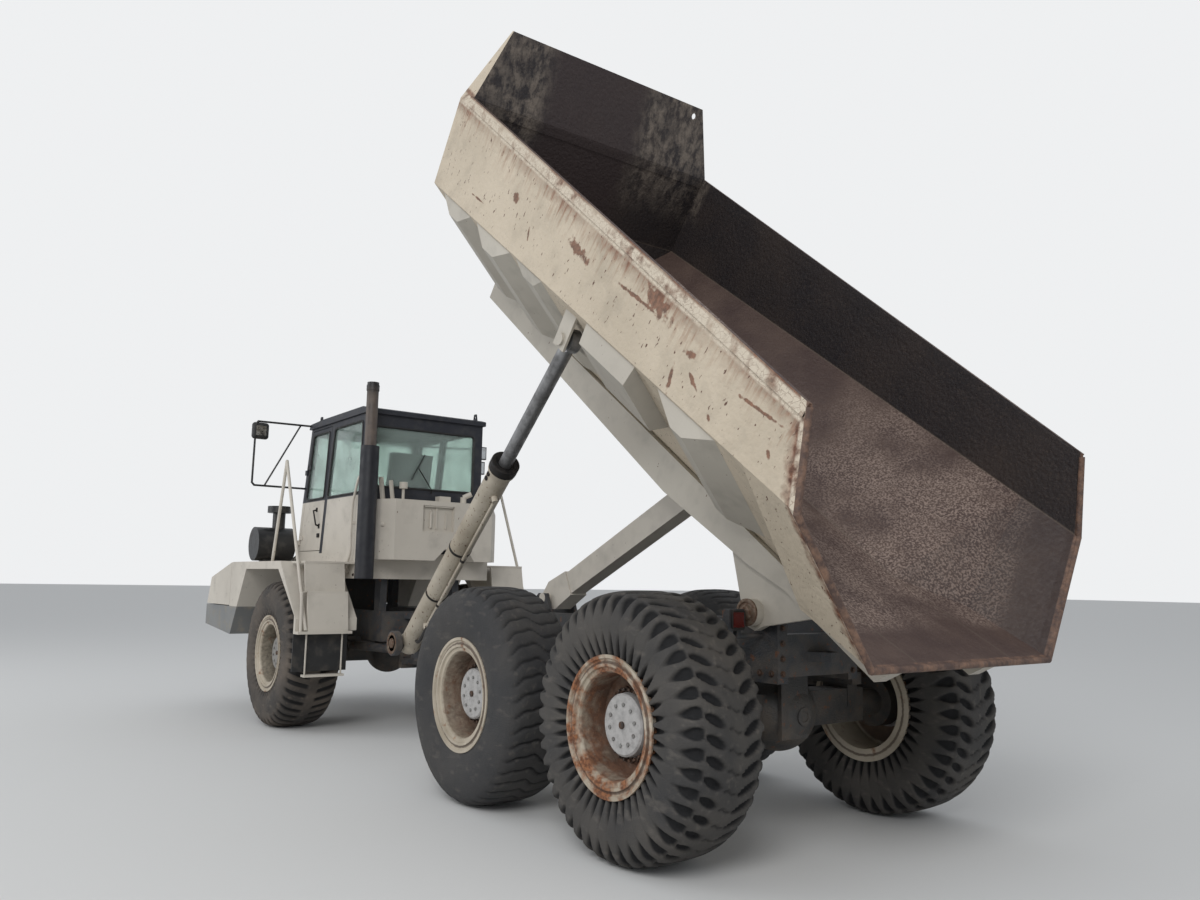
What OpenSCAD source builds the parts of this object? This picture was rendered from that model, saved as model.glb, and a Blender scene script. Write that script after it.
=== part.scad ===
/* [Pick] */
// Which piece to draw, or all of them

/* [Wheels] */
// How far behind the origin the middle axle stands
mid_x = 1787; // [0:1:4000]
// From the middle axle forward to the front axle
wheelbase = 4336; // [3500:1:5000]
// From the middle axle back to the rear axle
bogie_gap = 1782; // [1500:1:2000]
// From the centre plane to the middle of a tyre
half_track = 1142; // [900:1:1300]
// Radius over the tread
tyre_r = 780; // [600:1:900]
// Width over the side walls
tyre_width = 586; // [400:1:700]
// Radius where the tyre sits on the rim
bead_r = 392; // [300:1:450]
// Outer radius of the rim's flange
rim_flange_r = 408; // [350:1:470]
// Half of the rim's width over its flanges
rim_half = 274; // [200:1:320]

/* [Dump body] */
// From the middle axle back to the body's hinge
hinge_dx = 2024; // [1800:1:2300]
// Height of the body's hinge
hinge_z = 1434; // [1200:1:1700]
// How far the body is raised as drawn
tip_now = 37; // [0:1:65]
// Half width over the side crease
crease_y = 1345; // [1000:1:1500]
// Height of the side crease above the hinge
crease_z = 1100; // [800:1:1300]
// Half width of the flat floor
floor_y = 450; // [300:1:900]
// Height of the floor's underside above the hinge
floor_z = 400; // [300:1:600]
// Thickness of the body's plates
plate = 16; // [6:1:30]

/* [Articulation] */
// From the middle axle forward to the steering pin
hitch_dx = 3250; // [2500:1:3600]
// Height of the middle of the steering pin
hitch_z = 960; // [700:1:1200]

/* [Cab] */
// Left wall of the cab, from the centre plane
cab_left = -780; // [-900:1:-600]
// Right wall of the cab, from the centre plane
cab_right = 660; // [500:1:900]
// Rear wall of the cab, ahead of the middle axle
cab_rear = -3437; // [-3700:1:-3000]
// Height of the cab's floor
cab_floor = 1884; // [1700:1:2000]
// Height where the roof panel starts
cab_top = 3396; // [3200:1:3600]

/* [Hidden] */
$fn = 48;
axle_z = tyre_r;
front_x = mid_x - wheelbase;
rear_x = mid_x + bogie_gap;
hinge_x = mid_x + hinge_dx;
hitch_x = mid_x - hitch_dx;
// running gap at pins, hubs and rods
run = 1;

cream = [0.78, 0.75, 0.68];
dark = [0.13, 0.14, 0.17];
black = [0.06, 0.06, 0.07];
grey = [0.45, 0.47, 0.47];

// a side outline in X and Z, drawn out from y0 to y1
module slab(points, y0, y1) {
    translate([0, y1, 0])
        rotate([90, 0, 0])
            linear_extrude(height = y1 - y0)
                polygon(points);
}

// a front outline in Y and Z, drawn out from x0 to x1
module section(points, x0, x1) {
    translate([x0, 0, 0])
        rotate([90, 0, 90])
            linear_extrude(height = x1 - x0)
                polygon(points);
}

// a box from its low corner to its high corner
module block(low, high) {
    translate(low)
        cube(high - low);
}

// a round bar from one point to another
module bar(a, b, r) {
    d = b - a;
    reach = norm(d);
    translate(a)
        rotate([0, acos(d[2] / reach), atan2(d[1], d[0])])
            cylinder(h = reach, r = r);
}

// a round bar along Y
module pin_y(x, z, y0, y1, r) {
    translate([x, y0, z])
        rotate([-90, 0, 0])
            cylinder(h = y1 - y0, r = r);
}

// a flat plate with any outline, thickened to the side its corners turn about
module panel(points, thick) {
    n = len(points);
    across = cross(points[1] - points[0], points[2] - points[0]);
    step = across * thick / norm(across);
    polyhedron(
        points = concat(points, [for (p = points) p + step]),
        faces = concat(
            [[for (i = [0:n - 1]) i]],
            [[for (i = [0:n - 1]) 2 * n - 1 - i]],
            [for (i = [0:n - 1]) [(i + 1) % n, i, i + n, (i + 1) % n + n]]
        )
    );
}

module both_sides() {
    children();
    mirror([0, 1, 0])
        children();
}

// a copy on each side of a plane across Y
module both_sides_of(y) {
    translate([0, y, 0])
        both_sides()
            children();
}

// things drawn from the middle axle
module placed() {
    translate([mid_x, 0, 0])
        children();
}

// things drawn in the dump body's own frame, whose origin is its hinge
module on_body() {
    translate([hinge_x, 0, hinge_z])
        rotate([0, tip_now, 0])
            children();
}

// wheels

// half outline of the tyre: radius and distance from its middle plane
tyre_half = [
    [bead_r + 0.3, rim_half - 15], [rim_flange_r + 1, rim_half - 13],
    [tyre_r - 260, tyre_width / 2 - 1], [tyre_r - 90, tyre_width / 2 - 13],
    [tyre_r - 34, tyre_width / 2 - 69]
];

// cross bars of the tread: how many, their share of the pitch, their depth and half length
lug_count = 44;
lug_share = 0.6;
tread = 26;
lug_reach = 205;

// the ring of bars, as one toothed disc
module tread_ring() {
    pitch = 360 / lug_count;
    linear_extrude(height = 2 * lug_reach, center = true)
        polygon([
            for (i = [0:lug_count - 1])
                for (p = [
                    [0, tyre_r - tread], [0.5 - lug_share / 2, tyre_r],
                    [0.5 + lug_share / 2, tyre_r]
                ])
                    p[1] * [cos((i + p[0]) * pitch), sin((i + p[0]) * pitch)]
        ]);
}

module tyre_at(x, side) {
    outline = concat(
        tyre_half,
        [for (i = [len(tyre_half) - 1:-1:0]) [tyre_half[i][0], -tyre_half[i][1]]]
    );
    color(black)
        translate([x, side * half_track, axle_z])
            rotate([90, 0, 0])
                difference() {
                    union() {
                        rotate_extrude($fn = 16)
                            polygon(outline);
                        tread_ring();
                    }
                    cylinder(h = 800, r = tyre_half[0][0], center = true, $fn = 16);
                }
}

// radius of the axle's end inside the rim's hub
spindle_r = 95;

// rim outline, from the hub: radius and distance out from the tyre's middle plane
rim_line = [
    [spindle_r + run, 40], [190, 40], [322, 10], [322, -rim_half], [rim_flange_r, -rim_half],
    [rim_flange_r, -rim_half + 12], [bead_r, -rim_half + 14], [bead_r, rim_half - 14],
    // flange, lock ring and the lip of the dish
    [rim_flange_r, rim_half - 12], [rim_flange_r, rim_half], [388, rim_half],
    [380, rim_half - 12], [364, rim_half - 12], [358, rim_half - 4], [340, rim_half - 6],
    [334, rim_half - 20], [312, rim_half - 24], [304, rim_half - 40],
    // dish, ring under the nuts and the hub's end cover
    [298, 66], [250, 72], [222, 78], [218, 96], [186, 96], [180, 150], [168, 160], [0, 160],
    [0, 140], [spindle_r + run, 140]
];

module rim_at(x, side) {
    color(cream)
        translate([x, side * half_track, axle_z])
            rotate([side * -90, 0, 0])
                rotate_extrude($fn = 48)
                    polygon(rim_line);
}

module tyre_front_left() {
    tyre_at(front_x, -1);
}

module tyre_front_right() {
    tyre_at(front_x, 1);
}

module tyre_mid_left() {
    tyre_at(mid_x, -1);
}

module tyre_mid_right() {
    tyre_at(mid_x, 1);
}

module tyre_rear_left() {
    tyre_at(rear_x, -1);
}

module tyre_rear_right() {
    tyre_at(rear_x, 1);
}

module rim_front_left() {
    rim_at(front_x, -1);
}

module rim_front_right() {
    rim_at(front_x, 1);
}

module rim_mid_left() {
    rim_at(mid_x, -1);
}

module rim_mid_right() {
    rim_at(mid_x, 1);
}

module rim_rear_left() {
    rim_at(rear_x, -1);
}

module rim_rear_right() {
    rim_at(rear_x, 1);
}

// one axle with its bulb, its end flanges and the pads for what it carries
module axle_at(x, pad_y, pad_top) {
    end_y = half_track + 125;
    translate([x, 0, axle_z]) {
        pin_y(0, 0, -end_y, end_y, spindle_r);
        block([-105, -770, -105], [105, 770, 122]);
        sphere(r = 258);
        both_sides()
            pin_y(0, 0, half_track - 150, half_track - 20, 175);
        both_sides()
            block([-110, pad_y, 0], [110, pad_y + 100, pad_top - axle_z]);
    }
}

module front_axle() {
    color(dark)
        axle_at(front_x, 395, 930);
}

module rear_axles() {
    color(dark) {
        axle_at(mid_x, 600, 930);
        axle_at(rear_x, 600, 930);
        // plate behind the rear axle's housing, with the boss of its rod
        difference() {
            union() {
                block([rear_x + 190, -190, axle_z - 150], [rear_x + 222, 60, axle_z + 390]);
                block([rear_x + 60, -60, axle_z + 120], [rear_x + 200, 50, axle_z + 200]);
                translate([rear_x + 200, -15, axle_z - 10])
                    rotate([0, 90, 0])
                        cylinder(h = 60, r = 58);
            }
            translate([rear_x + 240, -15, axle_z - 10])
                rotate([0, 90, 0])
                    cylinder(h = 60, r = 34);
        }
    }
}

// rear frame

module bogie_beams() {
    color(dark)
        placed()
            both_sides()
                slab([
                    [-150, 930], [120, 930], [600, 880], [1180, 880], [1660, 930],
                    [bogie_gap + 150, 930], [bogie_gap + 150, 1010], [1660, 1030], [1180, 1120],
                    [600, 1120], [120, 1030], [-150, 1010]
                ], 600, 700);
}

module rear_frame() {
    color(dark)
        difference() {
            placed() {
                // side rails
                both_sides()
                    slab([
                        [-hitch_dx + 550, 790], [-2300, 790], [-1500, 1000], [2150, 1000], [2150, 1380],
                        [-1500, 1330], [-2300, 1160], [-hitch_dx + 550, 1160]
                    ], 290, 380);
                // cross members
                block([-hitch_dx + 510, -380, 790], [-hitch_dx + 610, 380, 1160]);
                block([-1180, -290, 1080], [-1040, 290, 1300]);
                block([500, -290, 1050], [620, 290, 1250]);
                block([1300, -290, 1050], [1420, 290, 1250]);
                block([2040, -290, 1040], [2150, 290, 1300]);
                // cross tube that carries the balance beams
                pin_y(891, 1000, -600, 600, 95);
                // lugs of the body's hinge
                both_sides()
                    slab([
                        [1800, 1300], [2150, 1300], [hinge_dx + 105, hinge_z],
                        [hinge_dx + 75, hinge_z + 80], [hinge_dx, hinge_z + 108],
                        [hinge_dx - 75, hinge_z + 80], [hinge_dx - 120, hinge_z]
                    ], 290, 380);
                // lugs of the body prop
                both_sides()
                    slab([[-1180, 1290], [-700, 1290], [-790, 1500], [-910, 1500]], 118, 148);
                // brackets and pins of the hoist cylinders
                both_sides() {
                    slab([[-2560, 800], [-2320, 800], [-2320, 1080], [-2560, 1080]], 380, 527);
                    pin_y(-2440, 985, 500, 830, 60);
                    pin_y(-2440, 985, 770, 830, 118);
                }
                // boss that the oscillating hitch turns on
                translate([-hitch_dx + 382 + run, 0, hitch_z])
                    rotate([0, 90, 0])
                        cylinder(h = 167, r = 165);
                // boxes of the rear lamps, on arms from the rails
                both_sides() {
                    block([1985, 560, 1325], [2045, 690, 1455]);
                    block([1999, 580, 1280], [2031, 612, 1340]);
                    pin_y(2015, 1290, 360, 600, 16);
                }
            }
            // bores of the body's hinge
            placed()
                pin_y(hinge_dx, hinge_z, -400, 400, 53);
            // bores of the body prop
            placed()
                pin_y(-851, 1457, -200, 200, 46);
        }
}

// tongue behind the rear cross member, with an upright hole for a tow pin
module tow_tongue() {
    color(dark)
        placed()
            difference() {
                translate([0, 0, 1130])
                    linear_extrude(height = 60)
                        polygon([
                            [2150, -110], [2235, -75], [2285, -40], [2285, 40], [2235, 75], [2150, 110]
                        ]);
                translate([2230, 0, 1100])
                    cylinder(h = 120, r = 25);
            }
}

module rear_lamps() {
    color([0.5, 0.05, 0.04])
        placed()
            both_sides()
                block([2045, 578, 1343], [2062, 672, 1437]);
}

module hitch_block() {
    color(dark)
        difference() {
            union() {
                translate([hitch_x, 0, hitch_z - 200])
                    cylinder(h = 400, r = 125);
                block([hitch_x, -120, hitch_z - 190], [hitch_x + 320, 120, hitch_z + 190]);
                translate([hitch_x + 290, 0, hitch_z])
                    rotate([0, 90, 0])
                        cylinder(h = 92, r = 185);
                // arms that the steering rods reach
                both_sides()
                    rod_arm();
            }
            translate([hitch_x, 0, hitch_z - 300])
                cylinder(h = 600, r = 63);
        }
}

module rod_arm() {
    difference() {
        translate([hitch_x, 0, hitch_z - 170])
            linear_extrude(height = 32)
                polygon([[60, 60], [300, 60], [370, 290], [350, 350], [250, 350], [230, 290]]);
        translate([hitch_x + steer_b[0], steer_b[1], hitch_z - 200])
            cylinder(h = 100, r = 26);
    }
}

// body prop

module body_prop() {
    color(cream)
        translate([mid_x - 851, 0, 1457])
            rotate([0, -24.2, 0]) {
                pin_y(0, 0, -150, 150, 46 - run);
                slab([[-90, -60], [60, -130], [330, -110], [330, 110], [60, 130], [-90, 60]], -85, 85);
                block([300, -75, -95], [2150, 75, 95]);
            }
}

// dump body

// half width of the upright side at a height
function side_y(z) = crease_y - 0.0587 * (z - crease_z);

// both mirrored halves of a list of points
function two_sided(points) = concat(points, [for (p = points) [p[0], -p[1], p[2]]]);

// the solid that a mirrored list of points spans
module span(points) {
    all = two_sided(points);
    hull()
        polyhedron(points = all, faces = [[for (i = [0:len(all) - 1]) i]]);
}

// corners of the body, in its own frame
low_front = [-4380, floor_y, floor_z];
crease_front = [-4472, crease_y, crease_z];
rail_front = [-4591, side_y(1828), 1828];
rail_back = [353, side_y(1573), 1573];
fold_top = [150, crease_y, crease_z];
fold_low = [150, floor_y, floor_z];
flare = [520, 800, 445];
crease_back = [615, crease_y, crease_z];
lip = [1094, 845, 514];
board_low = [-4363, side_y(1890), 1890];
board_top = [-4536, 1067, 2481];

// height of the top edge of the side at a place
function rail_z(x) = 1573 + (353 - x) * (1890 - 1573) / (353 + 4363);

// a four-cornered plate between an outer and an inner outline
module plate4(outer, step) {
    panel4 = concat(outer, [for (p = outer) p + step]);
    polyhedron(
        points = panel4,
        faces = [[0, 1, 2, 3], [7, 6, 5, 4], [1, 0, 4, 5], [2, 1, 5, 6], [3, 2, 6, 7], [0, 3, 7, 4]]
    );
}

module dump_body() {
    t = plate;
    color(cream)
        on_body() {
            difference() {
                union() {
                    // main box, from the front wall to the fold
                    span([
                        low_front, crease_front, rail_front, [-4363, side_y(1890), 1890],
                        [150, side_y(rail_z(150)), rail_z(150)], fold_top, fold_low
                    ]);
                    // tail
                    span([
                        [150, side_y(rail_z(150)), rail_z(150)], fold_top, fold_low, rail_back,
                        crease_back, flare, lip
                    ]);
                    // rails along the top
                    both_sides()
                        plate4([
                            [-4380, side_y(1890) - 75, 1892], [-4380, side_y(1890) + 16, 1892],
                            [350, side_y(1573) + 16, 1574], [350, side_y(1573) - 75, 1574]
                        ], [0, 0, -78]);
                }
                // load space ahead of the fold
                span([
                    [-4364, floor_y - 0.34 * t, floor_z + t],
                    [-4429, crease_y - t, crease_z + 0.49 * t],
                    [-4347, side_y(1890) - t, 1890], [-4326, side_y(2100) - t, 2100],
                    [152, side_y(1900) - t, 1900], [152, crease_y - t, crease_z + 0.49 * t],
                    [152, floor_y - 0.34 * t, floor_z + t]
                ]);
                // load space over the tail
                span([
                    [150, side_y(1900) - t, 1900], [150, crease_y - t, crease_z + 0.49 * t],
                    [150, floor_y - 0.34 * t, floor_z + t], flare + [0, -t, t], lip + [0, -14, t],
                    crease_back + [0, -t, 8], lip + [60, -10, 25], crease_back + [60, -t, 48],
                    [430, side_y(1573) - t, 1780]
                ]);
                // space ahead of the front wall, between the side flanges
                span([
                    [-4445, crease_y - t, crease_z], [-4363, side_y(1890) - t, 1890],
                    [-4363, side_y(1990) - t, 1990], [-4900, side_y(1990) - t, 1990],
                    [-4900, crease_y - t, crease_z]
                ]);
            }
            // headboard that leans over the cab
            difference() {
                span([
                    [-4368, side_y(1800) - 3, 1800], [-4352, side_y(1800) - 3, 1800],
                    board_low + [0, -3, 0], board_low + [t, -3, 0], board_top, board_top + [t, 0, 0]
                ]);
                // round hole near its right top corner
                translate([-4490, 985, 2395])
                    rotate([0, 90, 0])
                        cylinder(h = 400, r = 28, center = true);
            }
            // gussets from the side flanges up to the headboard's corners
            both_sides()
                gusset();
            // rims round the open rear edge
            both_sides() {
                bar(rail_back + [0, 0, -20], crease_back, 20);
                bar(crease_back, lip, 20);
                translate(crease_back)
                    sphere(r = 20.5);
                translate(lip)
                    sphere(r = 20.5);
            }
            bar([lip[0], -lip[1], lip[2]], lip, 20);
        }
}

module gusset() {
    t = plate;
    corners = [
        rail_front + [4, 0, -22], rail_front, board_top + [-2, 0, 0], board_top + [t, 0, 0],
        board_low + [t, 0, 0], board_low + [t, 2.5, -40]
    ];
    hull()
        polyhedron(
            points = concat(corners, [for (p = corners) p + [0, -t, 0]]),
            faces = [[for (i = [0:2 * len(corners) - 1]) i]]
        );
}

// where the hoist rod's eye sits in the body's frame
eye_b = [-1928, -1172, 834];

// underside of the body's sloping side at a distance from the centre plane
function under(y) = floor_z + (y - floor_y) * (crease_z - floor_z) / (crease_y - floor_y);

// columns: middle in X, half length at the foot, half length of the crest, inner Y, outer Y, depth
ribs = [
    [-3960, 300, 90, 530, 1325, 90],
    [-3200, 330, 100, 530, 1325, 100],
    [-2540, 220, 90, 530, 1325, 45],
    [-1305, 315, 295, 860, 1325, 115],
    [-420, 300, 60, 560, 1325, 100]
];

// one folded rib that stands out from the sloping side
module rib(x, foot, crest, y0, y1, depth) {
    out = [0, 0.616 * depth, -0.788 * depth];
    low = [x, y0, under(y0) - 0.4];
    high = [x, y1, under(y1) - 0.4];
    outer = low + out + [0, 50, 50 * 0.782];
    inner = high + out - [0, 60, 60 * 0.782];
    polyhedron(
        points = [
            low - [foot, 0, 0], high - [foot, 0, 0], high + [foot, 0, 0], low + [foot, 0, 0],
            outer - [crest, 0, 0], inner - [crest, 0, 0], inner + [crest, 0, 0], outer + [crest, 0, 0]
        ],
        faces = [[0, 1, 2, 3], [7, 6, 5, 4], [4, 5, 1, 0], [5, 6, 2, 1], [6, 7, 3, 2], [7, 4, 0, 3]]
    );
}

module body_beams() {
    color(cream)
        on_body() {
            both_sides() {
                slab([
                    [-4385, 225], [-1150, 150], [-200, 230], [150, 290], [950, 290],
                    [1060, 508], [150, floor_z], [-4380, floor_z]
                ], 395, 500);
                // ears that hang on the hinge pin
                slab([
                    [-420, 220], [-120, -30], [-70, -90], [0, -110], [70, -90], [110, -20],
                    [420, 300], [-420, 300]
                ], 395, 450);
                pin_y(0, 0, 395, 520, 84);
            }
            // hinge pin
            both_sides()
                pin_y(0, 0, 285, 520, 53 - run);
            // folded ribs under the sloping sides: middle, half lengths at foot and crest, reach and depth
            both_sides() {
                for (r = ribs)
                    rib(r[0], r[1], r[2], r[3], r[4], r[5]);
            }
            // open forks for the eyes of the hoist rods
            both_sides() {
                section([
                    [1238, 770], [1256, 770], [1256, under(1256)], [1238, under(1238)]
                ], eye_b[0] - 75, eye_b[0] + 75);
                section([
                    [1044, 770], [1062, 770], [1062, under(1062)], [1044, under(1044)]
                ], eye_b[0] - 45, eye_b[0] + 75);
                pin_y(eye_b[0], 834, 1256, 1276, 45);
            }
        }
}

// hoist cylinder, on the left side only, as on the truck in the picture

hoist_low = [mid_x - 2440, -640, 985];
hoist_high = [mid_x + 986, -1172, 3261];

// turns +Z to run from the low pin to the eye
module along_hoist(from) {
    d = hoist_high - hoist_low;
    reach = norm(d);
    translate(hoist_low)
        rotate([0, acos(d[2] / reach), atan2(d[1], d[0])])
            translate([0, 0, from])
                children();
}

// a point at a distance from the low pin, and off the barrel's axis towards its lower side
function beside_hoist(from, off) =
    hoist_low
    + from * (hoist_high - hoist_low) / norm(hoist_high - hoist_low)
    + off * [0.5437, -0.12, -0.8307];

module hoist_barrel() {
    color(cream)
        difference() {
            union() {
                along_hoist(0)
                    sphere(r = 112);
                along_hoist(60)
                    cylinder(h = 2660, r = 98);
                along_hoist(2700)
                    cylinder(h = 90, r = 112);
                // oil pipe that runs beside the barrel
                bar(beside_hoist(2480, 92), beside_hoist(2480, 150), 24);
                bar(beside_hoist(2480, 136), beside_hoist(520, 136), 15);
                bar(beside_hoist(520, 92), beside_hoist(520, 150), 24);
            }
            translate(hoist_low)
                rotate([90, 0, 0]) {
                    cylinder(h = 400, r = 60 + run, center = true);
                    for (turn = [0, 180])
                        rotate([turn, 0, 0])
                            translate([0, 0, 15])
                                cylinder(h = 200, r1 = 60 + run, r2 = 76);
                }
            along_hoist(300)
                cylinder(h = 2400, r = 63);
            along_hoist(2600)
                cylinder(h = 300, r = 54 + run);
        }
}

module hoist_rod() {
    reach = norm(hoist_high - hoist_low);
    color([0.35, 0.35, 0.36])
        difference() {
            union() {
                along_hoist(1500)
                    cylinder(h = reach - 1540, r = 54);
                translate(hoist_high)
                    rotate([90, 0, 0])
                        cylinder(h = 80, r = 84, center = true);
            }
            translate(hoist_high)
                rotate([90, 0, 0])
                    cylinder(h = 200, r = 42, center = true);
        }
}

// steering cylinders

steer_a = [-850, 560];
steer_b = [300, 300];
steer_z = hitch_z - 100;

module along_steer(from) {
    d = steer_b - steer_a;
    translate([hitch_x + steer_a[0], steer_a[1], steer_z])
        rotate([0, 0, atan2(d[1], d[0])])
            translate([from, 0, 0])
                rotate([0, 90, 0])
                    children();
}

module steer_barrel() {
    difference() {
        union() {
            translate([hitch_x + steer_a[0], steer_a[1], steer_z - 40])
                cylinder(h = 80, r = 58);
            along_steer(40)
                cylinder(h = 720, r = 48);
        }
        translate([hitch_x + steer_a[0], steer_a[1], steer_z - 100])
            cylinder(h = 200, r = 31);
        along_steer(90)
            cylinder(h = 630, r = 33);
        along_steer(600)
            cylinder(h = 300, r = 27 + run);
    }
}

module steer_rod() {
    reach = norm(steer_b - steer_a);
    difference() {
        union() {
            along_steer(380)
                cylinder(h = reach - 410, r = 27);
            translate([hitch_x + steer_b[0], steer_b[1], steer_z - 30])
                cylinder(h = 60, r = 50);
        }
        translate([hitch_x + steer_b[0], steer_b[1], steer_z - 100])
            cylinder(h = 200, r = 26);
    }
}

module steer_barrel_left() {
    color(dark)
        mirror([0, 1, 0])
            steer_barrel();
}

module steer_rod_left() {
    color(grey)
        mirror([0, 1, 0])
            steer_rod();
}

module steer_barrel_right() {
    color(dark)
        steer_barrel();
}

module steer_rod_right() {
    color(grey)
        steer_rod();
}

// front unit

// top outline of the lugs that hold the steering pin, from the frame's rear end
pin_lug = [[0, -220], [230, -110], [300, -90], [340, 0], [300, 90], [230, 110], [0, 220]];

module front_frame() {
    color(dark) {
        difference() {
            placed() {
                both_sides()
                    slab([
                        [-6640, 930], [-hitch_dx - 230, 930], [-hitch_dx - 230, 1250], [-6640, 1250]
                    ], 400, 480);
                block([-6640, -400, 930], [-6560, 400, 1250]);
                block([-5420, -400, 930], [-5340, 400, 1100]);
                block([-hitch_dx - 310, -400, 930], [-hitch_dx - 230, 400, 1250]);
                block([-hitch_dx - 310, -220, 640], [-hitch_dx - 230, 220, 930]);
                // lugs of the steering pin
                translate([-hitch_dx - 230, 0, 0]) {
                    translate([0, 0, 1170])
                        linear_extrude(height = 60)
                            polygon(pin_lug);
                    translate([0, 0, 690])
                        linear_extrude(height = 60)
                            polygon(pin_lug);
                }
                // posts that carry the cab's base
                both_sides() {
                    block([-5300, 400, 1250], [-5160, 480, cab_floor - 30]);
                    block([-hitch_dx - 450, 400, 1250], [-hitch_dx - 310, 480, cab_floor - 30]);
                }
                // steering pin
                translate([-hitch_dx, 0, 690])
                    cylinder(h = 540, r = 63 - run);
                // brackets and pins of the steering cylinders
                both_sides() {
                    block([-hitch_dx - 920, 400, 930], [-hitch_dx - 790, 620, 960]);
                    translate([-hitch_dx + steer_a[0], steer_a[1], steer_z - 60])
                        cylinder(h = 140, r = 31 - run);
                    translate([-hitch_dx + steer_a[0], steer_a[1], steer_z + 48])
                        cylinder(h = 30, r = 45);
                }
            }
        }
    }
}

module engine_block() {
    color([0.2, 0.2, 0.2])
        placed()
            block([-6250, -400, 1100], [-5460, 400, 1600]);
}

module cab_base() {
    color(cream)
        placed()
            difference() {
                block([-5392, -780, 1600], [cab_rear, 780, cab_floor]);
                block([-5362, -750, 1560], [cab_rear - 30, 750, cab_floor - 30]);
            }
}

// side outline of the cab, in X and Z
cab_side = [
    [-5392, cab_floor], [-5296, 2497], [-5110, cab_top], [cab_rear, cab_top], [cab_rear, cab_floor]
];
cab_side_inner = [
    [-5336, cab_floor + 30], [-5240, 2502], [-5064, cab_top + 10], [cab_rear - 46, cab_top + 10],
    [cab_rear - 46, cab_floor + 30]
];
door_open = [[-5318, 1912], [-5226, 2497], [-5048, 3366], [-4430, 3366], [-4630, 1912]];
door_pane = [[-5170, 2530], [-5010, 3310], [-4500, 3310], [-4590, 2530]];
rear_pane_left = [[-4480, 2530], [-4340, 3320], [-3530, 3320], [-3530, 2530]];
right_pane_a = [[-5170, 2530], [-5010, 3320], [-4430, 3320], [-4570, 2530]];

// X of the windscreen's outer face at a height
function screen_x(z) = -5296 + (z - 2497) * 186 / 903;

module cab_shell() {
    color(dark)
        placed() {
            // lower halves of the door's hinges
            for (z = [2050, 2900]) {
                block(door_axis(z - 60) + [-60, -11, 0], door_axis(z - 60) + [-28, 32, 60 - run]);
                block(door_axis(z - 60) + [-40, -11, 0], door_axis(z - 60) + [4, 9, 60 - run]);
            }
            difference() {
                slab(cab_side, cab_left, cab_right);
                slab(cab_side_inner, cab_left + 46, cab_right - 46);
                slab(door_open, cab_left - 10, cab_left + 60);
                slab(rear_pane_left, cab_left - 10, cab_left + 60);
                slab(right_pane_a, cab_right - 60, cab_right + 10);
                slab(rear_pane_left, cab_right - 60, cab_right + 10);
                block([cab_rear - 60, cab_left + 110, 2600], [cab_rear + 10, cab_right - 110, 3260]);
                slab([
                    [screen_x(2560) - 30, 2560], [screen_x(3320) - 30, 3320],
                    [screen_x(3320) + 90, 3320], [screen_x(2560) + 90, 2560]
                ], cab_left + 90, cab_right - 90);
            }
        }
}

module cab_glass() {
    color([0.45, 0.6, 0.58])
        placed() {
            slab(rear_pane_left, cab_left + 10, cab_left + 18);
            slab(right_pane_a, cab_right - 18, cab_right - 10);
            slab(rear_pane_left, cab_right - 18, cab_right - 10);
            block([cab_rear - 18, cab_left + 110, 2600], [cab_rear - 10, cab_right - 110, 3260]);
            slab([
                [screen_x(2560) + 10, 2560], [screen_x(3320) + 10, 3320],
                [screen_x(3320) + 18, 3320], [screen_x(2560) + 18, 2560]
            ], cab_left + 90, cab_right - 90);
        }
}

module cab_roof() {
    color(dark)
        placed() {
            slab([
                [-5140, cab_top], [-5110, cab_top + 60], [-4700, cab_top + 76], [-3500, cab_top + 76],
                [-3405, cab_top + 50], [-3405, cab_top]
            ], cab_left - 25, cab_right + 25);
            // raised hatch
            slab([
                [-4700, cab_top + 70], [-4640, cab_top + 118], [-3960, cab_top + 118],
                [-3900, cab_top + 70]
            ], cab_left + 150, cab_left + 950);
            // lifting eyes at the corners
            for (x = [-4960, -3520])
                both_sides_of(-60)
                    difference() {
                        slab([
                            [x - 45, cab_top + 50], [x - 22, cab_top + 150], [x + 22, cab_top + 150],
                            [x + 45, cab_top + 50]
                        ], 655, 671);
                        pin_y(x, cab_top + 112, 600, 700, 19);
                    }
        }
}

// a point on the door's hinge line, just outside the cab's left wall
function door_axis(z) = [-5318 + (z - 1910) * 0.1852, cab_left - 12, z];

module cab_door() {
    color(cream)
        placed()
            difference() {
                slab([
                    [-5308, 1920], [-5217, 2497], [-5041, 3358], [-4439, 3358], [-4640, 1920]
                ], cab_left, cab_left + 40);
                slab(door_pane, cab_left - 10, cab_left + 60);
            }
    color(dark)
        placed()
            for (z = [2050, 2900]) {
                bar(door_axis(z), door_axis(z + 60), 11);
                block(door_axis(z + 5) + [6, 0, 0], door_axis(z + 5) + [76, 12, 50]);
            }
}

module door_glass() {
    color([0.45, 0.6, 0.58])
        placed()
            slab(door_pane, cab_left + 10, cab_left + 18);
}

module operator_seat() {
    color(black)
        placed() {
            block([-4350, -300, cab_floor + 30], [-3950, 180, cab_floor + 330]);
            block([-4480, -330, cab_floor + 330], [-3930, 210, cab_floor + 450]);
            slab([
                [-3990, cab_floor + 450], [-3880, cab_floor + 450], [-3760, cab_floor + 1150],
                [-3860, cab_floor + 1150]
            ], -310, 190);
        }
}

module steering_wheel() {
    color(black)
        placed() {
            bar([-5076, -60, cab_floor + 42.5], [-4850, -60, cab_floor + 790], 40);
            translate([-4850, -60, cab_floor + 790])
                rotate([0, -60, 0]) {
                        rotate([0, 90, 0])
                            rotate_extrude($fn = 32)
                                translate([200, 0])
                                    circle(r = 16, $fn = 16);
                        block([-14, -200, -16], [14, 200, 16]);
                        block([-14, -16, -200], [14, 16, 0]);
                    }
        }
}

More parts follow.
